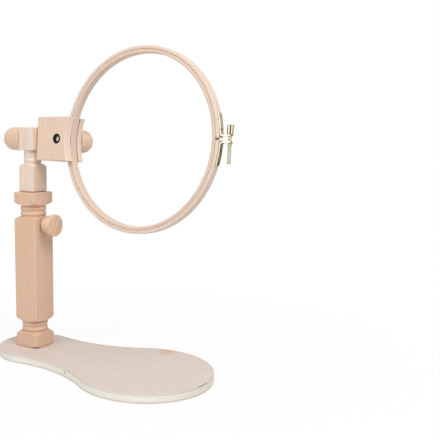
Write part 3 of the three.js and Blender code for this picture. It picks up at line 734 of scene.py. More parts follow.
def wood(name, stains=()):
    """Fine-sanded bare wood: soft growth bands, fine fibres, and the short dark flecks of its rays.

    The bands are cut from rings about a distant pith, so that each face shows them its own way.
    """
    look = WOODS[name]
    rgb = getattr(bpy.context.scene.hoop_finishes, look.colour)

    def surface(tree):
        grain = add_node(tree, "Attribute", attribute_name="grain").outputs["Vector"]
        # Cut ends and the painted darker side, in one value
        ends = add_node(tree, "Attribute", attribute_name="end_grain").outputs["Fac"]
        places = []
        for across, along in (WANDER_PATCH, FIBRE, (RAY_WIDTH, look.fleck_length)):
            steps = (1 / across, 1 / across, 1 / along)
            places.append(add_node(tree, "VectorMath", {0: grain, 1: steps}, operation="MULTIPLY"))
        wander = add_node(tree, "TexNoise", {"Vector": places[0], "Scale": 1.0, "Detail": 2.0})
        fibres = add_node(tree, "TexNoise", {"Vector": places[1], "Scale": 1.0, "Detail": 3.0})
        rays = add_node(tree, "TexVoronoi", {"Vector": places[2], "Scale": 1.0})
        # Growth bands: the reach from the pith, bent by the wandering, in turns of one ring spacing
        sideways = {0: grain, 1: (1, 1, 0), 2: TO_PITH}
        from_pith = add_node(tree, "VectorMath", sideways, operation="MULTIPLY_ADD")
        reach = add_node(tree, "VectorMath", {0: from_pith}, operation="LENGTH").outputs["Value"]
        bend = {0: wander, 1: BAND_WANDER * look.ring_spacing, 2: reach}
        bent = add_node(tree, "Math", bend, operation="MULTIPLY_ADD")
        one_turn = {0: bent, 1: 2 * math.pi / look.ring_spacing}
        turns = add_node(tree, "Math", one_turn, operation="MULTIPLY")
        bands = add_node(tree, "Math", {0: turns}, operation="SINE")
        late_share = add_node(tree, "MapRange", {"Value": bands, "From Min": -1.0, "From Max": 1.0})
        # Colour: early wood to late wood, then fibres, flecks, cut ends with the painted darker side, and
        # stains
        band = look.band_share
        early = toned(rgb, *[1 + share * band for share in EARLY_WOOD])
        late = toned(rgb, *[1 - share * band for share in LATE_WOOD])
        tone = add_node(tree, "Mix", {0: late_share, 6: early, 7: late}, data_type="RGBA").outputs[2]
        streaks = {"Value": fibres, "From Min": 0.3, "From Max": 0.7}
        dark, light = FIBRE_TONES
        fibre_tone = add_node(tree, "MapRange", {**streaks, "To Min": dark, "To Max": light})
        tone = add_node(tree, "VectorMath", {0: tone, "Scale": fibre_tone}, operation="SCALE")
        full, none = FLECK_EDGE
        fade = {"Value": rays, "From Min": full, "From Max": none, "To Min": look.fleck_share, "To Max": 0.0}
        flecks = add_node(tree, "MapRange", fade)
        end_and_shade_mix = add_node(tree, "Math", {0: ends, 1: look.end_and_shade_share}, operation="MULTIPLY")
        layers = [(flecks, toned(rgb, *FLECK_TONE)), (end_and_shade_mix, toned(rgb, *END_AND_SHADE_TONE))]
        for middle, radius, code in stains:
            on_piece = add_node(tree, "TexCoord").outputs["Object"]
            away = add_node(tree, "VectorMath", {0: on_piece, 1: middle}, operation="DISTANCE")
            fade = {"From Min": STAIN_CORE * radius, "From Max": radius, "To Min": 1.0, "To Max": 0.0}
            fade["Value"] = away.outputs["Value"]
            spot = add_node(tree, "MapRange", fade, interpolation_type="SMOOTHSTEP")
            layers.append((spot, toned(linear_colour(code))))
        for share, other in layers:
            tone = add_node(tree, "Mix", {0: share, 6: tone, 7: other}, data_type="RGBA").outputs[2]
        furry, smooth = FIBRE_ROUGHNESS
        rough = add_node(tree, "MapRange", {**streaks, "To Min": furry, "To Max": smooth})
        raised = {"Height": fibres, "Strength": RELIEF_STRENGTH, "Distance": FIBRE_RELIEF}
        relief = add_node(tree, "Bump", raised)
        bare = {"Base Color": tone, "Roughness": rough, "Normal": relief}
        return add_node(tree, "BsdfPrincipled", {**bare, "IOR": 1.5, "Specular IOR Level": 0.35})

    return made_once(name, surface)


def metal(name):
    """Worked metal with a faintly clouded, dulled surface that softens its reflections."""
    look = METALS[name]
    rgb = getattr(bpy.context.scene.hoop_finishes, look.colour)

    def surface(tree):
        place = add_node(tree, "TexCoord").outputs["Object"]
        patches = {"Vector": place, "Scale": 1 / look.patch_size, "Detail": 4.0}
        clouds = add_node(tree, "TexNoise", patches)
        dull = {"Value": clouds, "From Min": 0.35, "From Max": 0.7, "To Min": 0.0, "To Max": look.dark_share}
        mix = {0: add_node(tree, "MapRange", dull), 6: toned(rgb), 7: toned(rgb, *CLOUD_TONE)}
        tone = add_node(tree, "Mix", mix, data_type="RGBA").outputs[2]
        smooth, coarse = [share * look.roughness for share in CLOUD_ROUGHNESS]
        blur = {"Value": clouds, "From Min": 0.3, "From Max": 0.7, "To Min": smooth, "To Max": coarse}
        rough = add_node(tree, "MapRange", blur)
        plate = {"Base Color": tone, "Roughness": rough, "Metallic": 1.0}
        return add_node(tree, "BsdfPrincipled", plate)

    return made_once(name, surface)


def drawn_brass():
    """Brass drawn and pressed, left bare.

    It is painted brown where shade falls, olive gold on plain faces and painted bright where highlights
    fall.
    """
    finishes = bpy.context.scene.hoop_finishes

    def surface(tree):
        wear = add_node(tree, "Attribute", attribute_name="wear").outputs["Fac"]
        tone = toned(finishes.shaded_brass)
        for low, high, rgb in ((0.0, 0.5, finishes.brass), (0.5, 1.0, finishes.highlit_brass)):
            share = add_node(tree, "MapRange", {"Value": wear, "From Min": low, "From Max": high})
            mix = {0: share, 6: tone, 7: toned(rgb)}
            tone = add_node(tree, "Mix", mix, data_type="RGBA").outputs[2]
        plain = {"Base Color": tone, "Roughness": BRASS_ROUGHNESS, "Metallic": 1.0}
        return add_node(tree, "BsdfPrincipled", plain)

    return made_once("drawn_brass_dulled", surface)


# Painted shade and highlights of the brass: 0 is painted brown shade, 0.5 is plain, 1 is a painted bright
# highlight

TIP_TONE = 0.15
# Cut edges and the ears are painted bright as highlights
CUT_EDGE_HIGHLIGHT = 1.0
EAR_HIGHLIGHT = 0.9
SHANK_WEAR = 0.52
FLUTE_SHADE = 1.6  # how fast the head's painted shade deepens towards the bottom of its flutes
LOCK_INSERT_WEAR = 0.6
# The lower bracket faces down and is painted darker as shade
STRAP_SHADE = {"bracket_upper": 0.45, "bracket_lower": 0.12}
# The lower nails are painted darker as shade, like the lower bracket
NAIL_SHADE = {"nail_upper_near": 0.4, "nail_upper_far": 0.5, "nail_lower_near": 0.2, "nail_lower_far": 0.1}


def even_sheen_and_shade(amount):
    """One level of painted shade and highlight all over."""
    return lambda point, normal: amount


def bracket_sheen_and_shade(face_sheen_and_shade):
    """Cut edges and ears painted bright as highlights, the ears' end faces darker, and the strap's faces as
    given.
    """
    _, _, hoop = sizes()
    p = hoop_places()
    ear_start = hoop.radius + STRAP_BEND + 2 * hoop.strap_thickness

    def sheen_and_shade_at(point, normal):
        is_tip = point.x > p.ear_tip - MM and normal.x > 0.7
        is_cut_edge = abs(normal.z) > 0.6
        if is_tip:
            return TIP_TONE
        if is_cut_edge:
            return CUT_EDGE_HIGHLIGHT
        return EAR_HIGHLIGHT if point.x > ear_start else face_sheen_and_shade

    return sheen_and_shade_at


def screw_sheen_and_shade(point, normal):
    """The head's ridges painted bright as highlights and its flutes painted dark as shade; the shank plain.
    """
    p = hoop_places()
    if point.y < p.head_seat - TINY:
        return SHANK_WEAR
    reach = math.hypot(point.x - p.screw_x, point.z)
    return max(0, min(1, 1 - FLUTE_SHADE * (TENSION_HEAD.radius - reach) / FLUTE_DEPTH))


# Base board


def board_outline():
    """Points and outward ways round the spoon outline: each hollow arc touches both round ends."""
    stand, _, _ = sizes()
    narrow_reach = stand.narrow_end + stand.waist
    wide_reach = stand.wide_end + stand.waist
    span = stand.wide_end_x - NARROW_END_X
    along = (narrow_reach ** 2 - wide_reach ** 2 + span ** 2) / (2 * span)
    aside = math.sqrt(narrow_reach ** 2 - along ** 2)
    narrow_angle = math.atan2(aside, along)
    wide_angle = math.atan2(aside, along - span)
    waist_x = NARROW_END_X + along
    arcs = (
        (stand.wide_end_x, 0, stand.wide_end, -wide_angle, wide_angle, 1),
        (waist_x, aside, stand.waist, wide_angle + math.pi, narrow_angle + math.pi, -1),
        (NARROW_END_X, 0, stand.narrow_end, narrow_angle, 2 * math.pi - narrow_angle, 1),
        (waist_x, -aside, stand.waist, math.pi - narrow_angle, math.pi - wide_angle, -1),
    )
    outline = []
    for x, y, radius, start, end, way in arcs:
        for step in range(BOARD_ARC_STEPS):
            turn = start + (end - start) * step / BOARD_ARC_STEPS
            out = Vector((math.cos(turn), math.sin(turn)))
            outline.append((Vector((x, y)) + out * radius, out * way))
    return outline


def base_screw_hole(x, top):
    """Countersunk hole from the underside."""
    head = BASE_SCREW.head + GAP
    shank = BASE_SCREW.radius + GAP
    profile = [(0, -OVERCUT), (head, -OVERCUT), (head, BASE_SCREW.recess)]
    profile += [(shank, BASE_SCREW.recess + BASE_SCREW.depth), (shank, top), (0, top)]
    return moved(turned(profile, SMALL_SIDES), Matrix.Translation((x, 0, 0)))


def edge_flaws():
    """Tools for two flaws in the edge: a hole at the waist and a torn line at the paddle's end."""
    stand, _, _ = sizes()
    hole = bar(WAIST_HOLE.radius, -WAIST_HOLE.depth, WAIST_HOLE.depth)
    moved(hole, Matrix.Translation(WAIST_HOLE.place), ALONG_Y)
    low = (stand.wide_end - TORN_LINE.depth, -TORN_LINE.half_length, TORN_LINE.low)
    high = (stand.wide_end + TORN_LINE.depth, TORN_LINE.half_length, TORN_LINE.high)
    at_paddle = Matrix.Translation((stand.wide_end_x, 0, 0)) @ Matrix.Rotation(TORN_LINE_TURN, 4, "Z")
    return [hole, moved(block(low, high), at_paddle)]


def base_board():
    """The plywood board: two face veneers, a thick pale core and the glue lines between them."""
    stand, _, _ = sizes()
    top, edge = stand.board_thickness, stand.board_edge
    line = GLUE_LINE.width
    midway = 0.3 * edge
    levels = [(0, edge), (midway, midway), (edge, 0)]
    levels += [(FACE_VENEER, 0), (FACE_VENEER + line / 2, GLUE_LINE.dip), (FACE_VENEER + line, 0)]
    levels += [(top - height, inset) for height, inset in reversed(levels)]
    outline = board_outline()
    rings = [[(*(point - out * inset), height) for point, out in outline] for height, inset in levels]
    mesh = rows_of_rings(rings, capped=True)
    mesh.materials.append(wood("rotary_veneer_sanded", BOARD_STAINS))
    for name in ("sawn_veneer_ply", "glue_line_ply", "sawn_core_ply"):
        mesh.materials.append(wood(name))
    for face in mesh.polygons:
        from_face = min(face.center.z, top - face.center.z)
        is_edge = abs(face.normal.z) <= 0.9
        below_veneer = from_face >= FACE_VENEER
        below_line = from_face >= FACE_VENEER + line
        face.material_index = is_edge * (1 + below_veneer + below_line)
    holes = [base_screw_hole(x, top + OVERCUT) for x in BASE_SCREW_X.values()]
    return cut(mesh, *holes, *edge_flaws())


def base_screw(x):
    """A countersunk wood screw with a cross recess in its head."""
    face = BASE_SCREW.recess
    shank_low = face + BASE_SCREW.depth
    into_head = 0.3 * MM
    shank = threaded(BASE_SCREW.radius, WOOD_THREAD, shank_low - into_head, face + BASE_SCREW.length)
    profile = [(0, face), (BASE_SCREW.head, face), (BASE_SCREW.radius, shank_low), (0, shank_low)]
    head = turned(eased(profile, SMALL_EDGE.base_screw), SMALL_SIDES)
    arm, wide = CROSS_RECESS.arm, CROSS_RECESS.half_width
    low, high = face - OVERCUT, face + CROSS_RECESS.depth
    head = cut(head, *[block((-a, -b, low), (a, b, high)) for a, b in ((arm, wide), (wide, arm))])
    return moved(combined(head, shank, "UNION"), Matrix.Translation((x, 0, 0)))


# Post, rod and head


def neck_profile(neck, bottom, top, corner, clear):
    """Radii and heights up a beaded neck, from one swollen shoulder to the other."""
    shoulder_steps, bead_steps = 10, 12
    past_corner = (clear - neck.groove) / (corner - neck.groove)
    lower, beads, upper = [], [], []
    for step in range(shoulder_steps + 1):
        share = step / shoulder_steps
        drop = past_corner * (share - SHOULDER_BULGE * math.sin(math.pi * share))
        radius = neck.groove + (clear - neck.groove) * share
        lower.append((radius, bottom - neck.rise * drop))
        upper.append((radius, top + neck.upper_rise * drop))
    for bead in range(BEADS_PER_NECK):
        bead_bottom = bottom + neck.below + bead * BEAD_WIDTH
        for step in range(1 if bead else 0, bead_steps + 1):
            share = step / bead_steps
            swell = neck.bead * math.sin(math.pi * share)
            beads.append((neck.groove + swell, bead_bottom + BEAD_WIDTH * share))
    return lower[::-1] + beads + upper


def turned_stick(side, neck, blocks, eases):
    """Square stock cut in on the lathe: blocks stay square, and the stretches between become beaded necks.

    Each block has its own rounding of the corners.
    """
    half = side / 2
    corner = side * math.sqrt(0.5)
    clear = corner + OVERCUT
    bottom, top = blocks[0][0], blocks[-1][1]
    profile = [(0, bottom - OVERCUT), (clear, bottom - OVERCUT)]
    for (_, neck_bottom), (neck_top, _) in zip(blocks, blocks[1:]):
        profile += neck_profile(neck, neck_bottom, neck_top, corner, clear)
    profile += [(clear, top + OVERCUT), (0, top + OVERCUT)]
    rings = []
    for (low, high), ease in zip(blocks, eases):
        for height in (low, low + END_EASE, high - END_EASE, high):
            reach = half - END_EASE if height in (bottom, top) else half
            square = [(-reach, -reach), (reach, -reach), (reach, reach), (-reach, reach)]
            rings.append([(x, y, height) for x, y in eased(square, ease, closed=True)])
    return combined(rows_of_rings(rings, capped=True), turned(profile), "INTERSECT")


def foot_hollow():
    """The small hollow under the foot's near corner, where the wood does not meet the board."""
    stand, _, _ = sizes()
    half = stand.post_side / 2 - FOOT_HOLLOW.inset
    stretch = Matrix.Diagonal((FOOT_HOLLOW.depth, FOOT_HOLLOW.width, FOOT_HOLLOW.height, 1))
    lens = moved(bar(1, -1, 1), stretch)
    corner = Matrix.Translation((half, -half, stand.board_thickness))
    return moved(lens, corner @ Matrix.Rotation(-math.pi / 4, 4, "Z"))


def post():
    """The post with the rod's bore, the lock's hole and the holes of the base screws."""
    stand, _, _ = sizes()
    h = heights()
    blocks = [(h.board_top, h.foot_top), (h.body_bottom, h.body_top), (h.collar_bottom, h.collar_top)]
    plain = stand.corner_ease
    eases = ((plain, stand.foot_ease, plain, plain), plain, plain)
    body = turned_stick(stand.post_side, POST_NECK, blocks, eases)
    bore = bar(ROD_RADIUS + GAP, h.rod_bottom - BORE_SPARE, h.collar_top + OVERCUT, TURNING_SIDES)
    hole = bar(LOCK_STUD.radius + INSERT_WALL + 2 * GAP, 0, stand.post_side / 2 + OVERCUT)
    moved(hole, Matrix.Translation((0, 0, h.lock)), ALONG_X)
    screw_top = BASE_SCREW.recess + BASE_SCREW.length + GAP
    screws = [base_screw_hole(x, screw_top) for x in BASE_SCREW_X.values()]
    return cut(body, bore, hole, foot_hollow(), *screws)


def lift_rod():
    """The dowel under the head, with a thinner tenon."""
    h = heights()
    tip = h.head_bottom + TENON_LENGTH
    profile = [(0, h.rod_bottom), (ROD_RADIUS, h.rod_bottom), (ROD_RADIUS, h.collar_top)]
    profile += [(TENON_RADIUS, h.collar_top), (TENON_RADIUS, tip), (0, tip)]
    return turned(eased(profile, SMALL_EDGE.lift_rod))


def head():
    """The head with the tenon's bore and the pivot stud's eye."""
    stand, _, _ = sizes()
    h = heights()
    blocks = [(h.head_bottom, h.bar_top), (h.eye_bottom, h.eye_top)]
    body = turned_stick(stand.head_side, HEAD_NECK, blocks, (stand.corner_ease, stand.corner_ease))
    bore = bar(TENON_RADIUS + GAP, h.head_bottom - OVERCUT, h.head_bottom + TENON_LENGTH + GAP)
    half = stand.head_side / 2 + OVERCUT
    eye = moved(bar(PIVOT_STUD.radius + GAP, -half, half), Matrix.Translation((0, 0, h.pivot)), ALONG_X)
    return cut(body, bore, eye)


# Knobs and studs


def lock_knob():
    """Flares from its back to a plain rim with a flat face."""
    stand, _, _ = sizes()
    long, rim = stand.lock_knob_length, stand.lock_knob
    back, rim_start = LOCK_KNOB.back, long - LOCK_KNOB.rim
    flare = [(0, 0), (back, 0), (back + LOCK_KNOB.swell, LOCK_KNOB.swell_height)]
    flare += [(rim - LOCK_KNOB.lip, rim_start - LOCK_KNOB.lip_height), (rim, rim_start)]
    flare += [(rim, long), (0, long)]
    knob = turned(eased(flare, LOCK_KNOB.edge))
    return cut(knob, bar(LOCK_STUD.radius + GAP, -OVERCUT, LOCK_STUD.depth + GAP))


def domed_knob(radius, straight, edge, stud):
    """A bullet-shaped knob: an eased back, straight sides, then a full dome."""
    steps = 20
    profile = [(0, 0)] + eased([(radius - 2 * edge, 0), (radius, 0), (radius, 2 * edge)], edge)
    for step in range(steps):
        turn = step / steps * math.pi / 2
        reach = radius * math.cos(turn) ** (2 / DOME_FULLNESS)
        rise = radius * math.sin(turn) ** (2 / DOME_FULLNESS)
        profile.append((reach, straight + rise))
    profile.append((0, straight + radius))
    return cut(turned(profile), bar(stud.radius + GAP, -OVERCUT, stud.depth + GAP))


def lock_stud():
    """Presses on the rod through the post's wall."""
    stand, _, _ = sizes()
    back = stand.post_side / 2 + LOCK_KNOB_BACK
    return threaded(LOCK_STUD.radius, M6_THREAD, ROD_RADIUS + GAP, back + LOCK_STUD.depth, STUD_POINT)


def pivot_stud():
    """Runs from the pivot knob through the eye into the front jaw."""
    reach = clamp_places().jaw_start + PIVOT_STUD.depth
    return threaded(PIVOT_STUD.radius, M5_THREAD, -reach, reach, STUD_POINT)


def clamp_screw():
    """Draws the jaws together. Its flat tip is sunk in the insert."""
    c = clamp_places()
    tip, end = CLAMP_TIP_SUNK - c.jaw_back, c.knob_base + CLAMP_SCREW.depth
    return threaded(CLAMP_SCREW.radius, M6_THREAD, tip, end)


def lock_insert():
    """The threaded sleeve in the post's wall."""
    stand, _, _ = sizes()
    bore = LOCK_STUD.radius + GAP
    start = ROD_RADIUS + GAP + INSERT_SETBACK
    return sleeve(bore, bore + INSERT_WALL, start, stand.post_side / 2, SMALL_EDGE.lock_insert)


def clamp_insert():
    """The sleeve in the front jaw, with a lip round the screw's tip."""
    c = clamp_places()
    bore = CLAMP_SCREW.radius + GAP
    face, deep = -c.jaw_back, -c.jaw_back + CLAMP_INSERT_LENGTH
    lip = bore - INSERT_LIP
    profile = [(lip, face), (c.insert_radius, face), (c.insert_radius, deep), (bore, deep)]
    profile += [(bore, face + INSERT_LIP), (lip, face + INSERT_LIP)]
    return turned(eased(profile, SMALL_EDGE.clamp_insert, closed=True), SMALL_SIDES, closed=True)


# Jaws


def jaw_plate(start, lap, front, back):
    """Square at its start and hollowed at its end, where the corners pass the rim's inside by the lap."""
    _, clamp, _ = sizes()
    tall = clamp.jaw_half_height
    end_radius = hoop_places().inner_inside - lap
    corner_x = clamp_places().hoop_x - math.sqrt(end_radius ** 2 - tall ** 2)
    half = math.asin(tall / JAW_HOLLOW)
    middle_x = corner_x + JAW_HOLLOW * math.cos(half)
    outline = [(start, tall), (start, -tall)]
    outline += arc(middle_x, 0, JAW_HOLLOW, math.pi + half, math.pi - half, JAW_ARC_STEPS)
    return with_eased_edges(moved(prism(outline, -back, -front), ALONG_MINUS_Y), clamp.jaw_edge)


def front_jaw():
    """The jaw in front of the rim, on the pivot stud, with the insert's hole."""
    c, p = clamp_places(), hoop_places()
    body = jaw_plate(c.jaw_start + JAW_SEAM, FRONT_JAW_LAP, -c.jaw_back, c.jaw_back)
    scoop_radius = (FRONT_RELIEF.height ** 2 / 4 + FRONT_RELIEF.depth ** 2) / (2 * FRONT_RELIEF.depth)
    rim_x = c.hoop_x - p.inner_inside
    scoop = bar(scoop_radius, rim_x - FRONT_RELIEF.reach, rim_x + FRONT_RELIEF.reach, RING_SIDES)
    moved(scoop, Matrix.Translation((0, c.jaw_back + scoop_radius - FRONT_RELIEF.depth, 0)), ALONG_X)
    stud = bar(PIVOT_STUD.radius + GAP, c.jaw_start - OVERCUT, c.jaw_start + PIVOT_STUD.depth + GAP)
    insert = bar(c.insert_radius + GAP, -c.jaw_back - OVERCUT, -c.jaw_back + CLAMP_INSERT_LENGTH + GAP)
    screw = bar(CLAMP_SCREW.radius + GAP, -c.jaw_back, c.jaw_back + OVERCUT)
    aside = Matrix.Translation((c.screw_x, 0, 0))
    holes = [moved(tool, aside, ALONG_Y) for tool in (insert, screw)]
    return cut(body, scoop, moved(stud, ALONG_X), *holes)


def rear_jaw():
    """The jaw behind the rim, relieved inside the rim's outer edge.

    Its heel, a glued block, bears on the front jaw.
    """
    _, clamp, hoop = sizes()
    c = clamp_places()
    tall = clamp.jaw_half_height
    body = jaw_plate(c.rear_start, REAR_JAW_LAP, c.rear_front, c.rear_back)
    shallow, deep = c.rear_front - OVERCUT, c.rear_front + REAR_RELIEF.depth
    relief = bar(hoop.radius - REAR_RELIEF.contact, shallow, deep, RING_SIDES)
    body = cut(body, moved(relief, Matrix.Translation((c.hoop_x, 0, 0)), ALONG_Y))
    inset = 0.05 * MM  # keeps the heel's faces just inside the plate's
    sunk = 3 * MM  # how deep the heel's back lies in the plate
    low = (c.rear_start + inset, c.rim_front, inset - tall)
    high = (c.rear_start + HEEL_LENGTH, c.rear_front + sunk, tall - inset)
    body = combined(body, with_eased_edges(block(low, high), SMALL_EDGE.heel), "UNION")
    screw = bar(CLAMP_SCREW.radius + GAP, c.rear_front - OVERCUT, c.rear_back + OVERCUT)
    return cut(body, moved(screw, Matrix.Translation((c.screw_x, 0, 0)), ALONG_Y))


def with_pale_end(mesh):
    """Gives the hollow end, which faces the hoop's middle, the second wood."""
    for face in mesh.polygons:
        faces_hoop = face.normal.x > 0.5
        face.material_index = int(faces_hoop)
    return mesh


# Hoop


def ring(inner, outer):
    """A bent ring about Z with rounded edges."""
    _, _, hoop = sizes()
    return sleeve(inner, outer, -hoop.width / 2, hoop.width / 2, hoop.edge, RING_SIDES)


def nail_hole(angle):
    """Through the strap into the ring."""
    _, _, hoop = sizes()
    p = hoop_places()
    low = hoop.radius - NAIL.depth - GAP
    hole = bar(NAIL.radius + GAP, low, p.strap + hoop.strap_thickness + OVERCUT, NAIL_HOLE_SIDES)
    return moved(hole, Matrix.Rotation(angle, 4, "Z"), ALONG_X)


def outer_ring():
    """The split outer ring."""
    _, _, hoop = sizes()
    p = hoop_places()
    low = (p.split_radius - OVERCUT, -hoop.split / 2, -hoop.width)
    high = (hoop.radius + OVERCUT, hoop.split / 2, hoop.width)
    holes = [nail_hole(angle) for angle in nail_angles().values()]
    return cut(ring(p.split_radius, hoop.radius), block(low, high), *holes)


def bracket():
    """A strap that follows the rim and bends out into an ear, on the +Y side of the split."""
    _, _, hoop = sizes()
    p = hoop_places()
    thick, half = hoop.strap_thickness, hoop.strap_width / 2
    outer = p.strap + thick
    ear_low, ear_high = EAR_SPACING / 2 - thick / 2, EAR_SPACING / 2 + thick / 2
    bend_y = ear_high + STRAP_BEND
    bend_x = math.sqrt((outer + STRAP_BEND) ** 2 - bend_y ** 2)
    bend = math.atan2(bend_y, bend_x)
    to_ear, to_rim = 1.5 * math.pi, math.pi + bend
    bend_steps, strap_steps = 8, 16
    outline = [(p.ear_tip, ear_low), (p.ear_tip, ear_high)]
    outline += arc(bend_x, bend_y, STRAP_BEND, to_ear, to_rim, bend_steps)
    outline += arc(0, 0, outer, bend, p.strap_end, strap_steps)[1:]
    outline += arc(0, 0, p.strap, p.strap_end, bend, strap_steps)
    outline += arc(bend_x, bend_y, STRAP_BEND + thick, to_rim, to_ear, bend_steps)[1:]

    def ear_corner(a, b):
        return min(a.x, b.x) > p.ear_tip - TINY and abs(a.z - b.z) < TINY

    body = with_eased_edges(prism(outline, -half, half), EAR_CORNER, ear_corner, 4)
    body = with_eased_edges(body, SHEET_EDGE, steps=2)
    screw = bar(TENSION_RADIUS + GAP, ear_low - OVERCUT, ear_high + OVERCUT)
    moved(screw, Matrix.Translation((p.screw_x, 0, 0)), ALONG_Y)
    return cut(body, screw, nail_hole(p.near_nail), nail_hole(p.far_nail))


def nail(angle):
    """A domed nail."""
    _, _, hoop = sizes()
    seat = hoop_places().strap + hoop.strap_thickness + GAP
    low = hoop.radius - NAIL.depth
    profile = [(0, low), (NAIL.radius, low + NAIL_TIP), (NAIL.radius, seat), (NAIL.head, seat)]
    steps = 6
    for step in range(1, steps):
        turn = step / steps * math.pi / 2
        profile.append((NAIL.head * math.cos(turn), seat + NAIL.height * math.sin(turn)))
    profile.append((0, seat + NAIL.height))
    return moved(turned(profile, NAIL_SIDES), Matrix.Rotation(angle, 4, "Z"), ALONG_X)


def fluted_head(low, high):
    """A head with straight flutes and chamfered ends."""
    chamfer = 0.35 * MM
    rings = [[(0, 0, low)]]
    for height, inset in ((low, chamfer), (low + chamfer, 0), (high - chamfer, 0), (high, chamfer)):
        points = []
        for i in range(FLUTES * POINTS_PER_FLUTE):
            turn = 2 * math.pi * i / (FLUTES * POINTS_PER_FLUTE)
            flute = (0.5 + 0.5 * math.cos(FLUTES * (turn - FIRST_FLUTE))) ** 2
            points.append(polar(TENSION_HEAD.radius - inset - FLUTE_DEPTH * flute, turn, height))
        rings.append(points)
    rings.append([(0, 0, high)])
    return rows_of_rings(rings)


def tension_screw():
    """Fluted, slotted head and a threaded shank."""
    p = hoop_places()
    top = p.head_seat + TENSION_HEAD.length
    wide, half = TENSION_HEAD.radius + OVERCUT, TENSION_HEAD.slot / 2
    slot = block((-wide, -half, top - TENSION_HEAD.slot_depth), (wide, half, top + OVERCUT))
    grip = cut(fluted_head(p.head_seat, top), slot)
    into_head = 2 * MM
    low, high = -p.head_seat - TENSION_TAIL, p.head_seat + into_head
    shank = threaded(TENSION_RADIUS, TENSION_THREAD, low, high, TENSION_POINT)
    return moved(combined(grip, shank, "UNION"), Matrix.Translation((p.screw_x, 0, 0)), ALONG_Y)


def tension_nut():
    """The threaded bush on the lower ear."""
    p = hoop_places()
    bore = TENSION_RADIUS + NUT_GAP
    low, high = -p.head_seat - NUT_LENGTH, -p.head_seat
    shell = sleeve(bore, bore + NUT_WALL, low, high, SMALL_EDGE.nut)
    return moved(shell, Matrix.Translation((p.screw_x, 0, 0)), ALONG_Y)


# Operators


class HOOPSTAND_OT_board(Operator):
    """Make the plywood base board"""

    bl_idname = "hoop_stand.board"
    bl_label = "Base board"

    def execute(self, context):
        finish_piece("base_board", base_board(), Matrix(), [], along=(1, 0, 0), seed=1)
        return {"FINISHED"}


class HOOPSTAND_OT_base_screws(Operator):
    """Make the wood screws that hold the post on the board"""

    bl_idname = "hoop_stand.base_screws"
    bl_label = "Base screws"

    def execute(self, context):
        for node, x in BASE_SCREW_X.items():
            finish_piece(node, base_screw(x), Matrix(), [metal("zinc_plated_steel")])
        return {"FINISHED"}


class HOOPSTAND_OT_post(Operator):
    """Make the post and the rod that slides in it"""

    bl_idname = "hoop_stand.post"
    bl_label = "Post and rod"

    def execute(self, context):
        woods = [wood("steamed_beech_sanded")]
        finish_piece("post", post(), Matrix(), woods, along=(0.02, -0.03, 1), seed=2)
        finish_piece("lift_rod", lift_rod(), Matrix(), woods, along=(0, 0, 1), seed=3)
        return {"FINISHED"}


class HOOPSTAND_OT_head(Operator):
    """Make the head that carries the clamp"""

    bl_idname = "hoop_stand.head"
    bl_label = "Head"

    def execute(self, context):
        woods = [wood("head_beech_sanded")]
        # The head's right side is painted darker and redder as shade, where the jaw above shades it
        upright, right = (-0.02, 0.02, 1), (1.1, 0, 0)
        finish_piece("head", head(), swivel_frame(), woods, along=upright, seed=4, darker_side=right)
        return {"FINISHED"}


class HOOPSTAND_OT_knobs(Operator):
    """Make the lock, pivot and clamp knobs"""

    bl_idname = "hoop_stand.knobs"
    bl_label = "Knobs"

    def execute(self, context):
        stand, clamp, _ = sizes()
        c = clamp_places()
        woods = [wood("streaked_beech_sanded")]
        back = Matrix.Translation((stand.post_side / 2 + LOCK_KNOB_BACK, 0, heights().lock))
        knob = moved(lock_knob(), back, ALONG_X)
        upright, face = (0.1, 0.4, 1), (0.9, 0, 0)
        finish_piece("lock_knob", knob, Matrix(), woods, along=upright, seed=5, darker_side=face)
        woods = [wood("turned_beech_sanded")]
        knob = domed_knob(clamp.pivot_knob, clamp.pivot_knob_straight, PIVOT_KNOB_EDGE, PIVOT_STUD)
        moved(knob, Matrix.Translation((-c.jaw_start, 0, 0)), ALONG_MINUS_X)
        lengthwise, front = (1, 0, 0.05), (0, -1.3, 0.6)
        finish_piece("pivot_knob", knob, pivot_frame(), woods, along=lengthwise, seed=6, darker_side=front)
        knob = domed_knob(clamp.clamp_knob, clamp.clamp_knob_straight, CLAMP_KNOB_EDGE, CLAMP_SCREW)
        moved(knob, Matrix.Translation((c.screw_x, c.knob_base, 0)), ALONG_Y)
        # The knob's underside is painted darker and redder as shade
        lengthwise, under = (0, 1, 0.05), (0.3, 0, -1.4)
        finish_piece("clamp_knob", knob, clamp_frame(), woods, along=lengthwise, seed=7, darker_side=under)
        return {"FINISHED"}


class HOOPSTAND_OT_studs(Operator):
    """Make the studs and the clamp screw that carry the knobs"""

    bl_idname = "hoop_stand.studs"
    bl_label = "Studs"

    def execute(self, context):
        steel = [metal("zinc_plated_steel")]
        lift = Matrix.Translation((0, 0, heights().lock))
        finish_piece("lock_stud", moved(lock_stud(), lift, ALONG_X), Matrix(), steel)
        finish_piece("pivot_stud", moved(pivot_stud(), ALONG_X), pivot_frame(), steel)
        aside = Matrix.Translation((clamp_places().screw_x, 0, 0))
        finish_piece("clamp_screw", moved(clamp_screw(), aside, ALONG_Y), clamp_frame(), steel)
        return {"FINISHED"}


class HOOPSTAND_OT_inserts(Operator):
    """Make the threaded inserts in the post and the front jaw"""

    bl_idname = "hoop_stand.inserts"
    bl_label = "Inserts"

    def execute(self, context):
        shell = moved(lock_insert(), Matrix.Translation((0, 0, heights().lock)), ALONG_X)
        finish_piece("lock_insert", shell, Matrix(), [drawn_brass()], sheen_and_shade_at=even_sheen_and_shade(LOCK_INSERT_WEAR))
        shell = moved(clamp_insert(), Matrix.Translation((clamp_places().screw_x, 0, 0)), ALONG_Y)
        finish_piece("clamp_insert", shell, clamp_frame(), [metal("blackened_steel")])
        return {"FINISHED"}


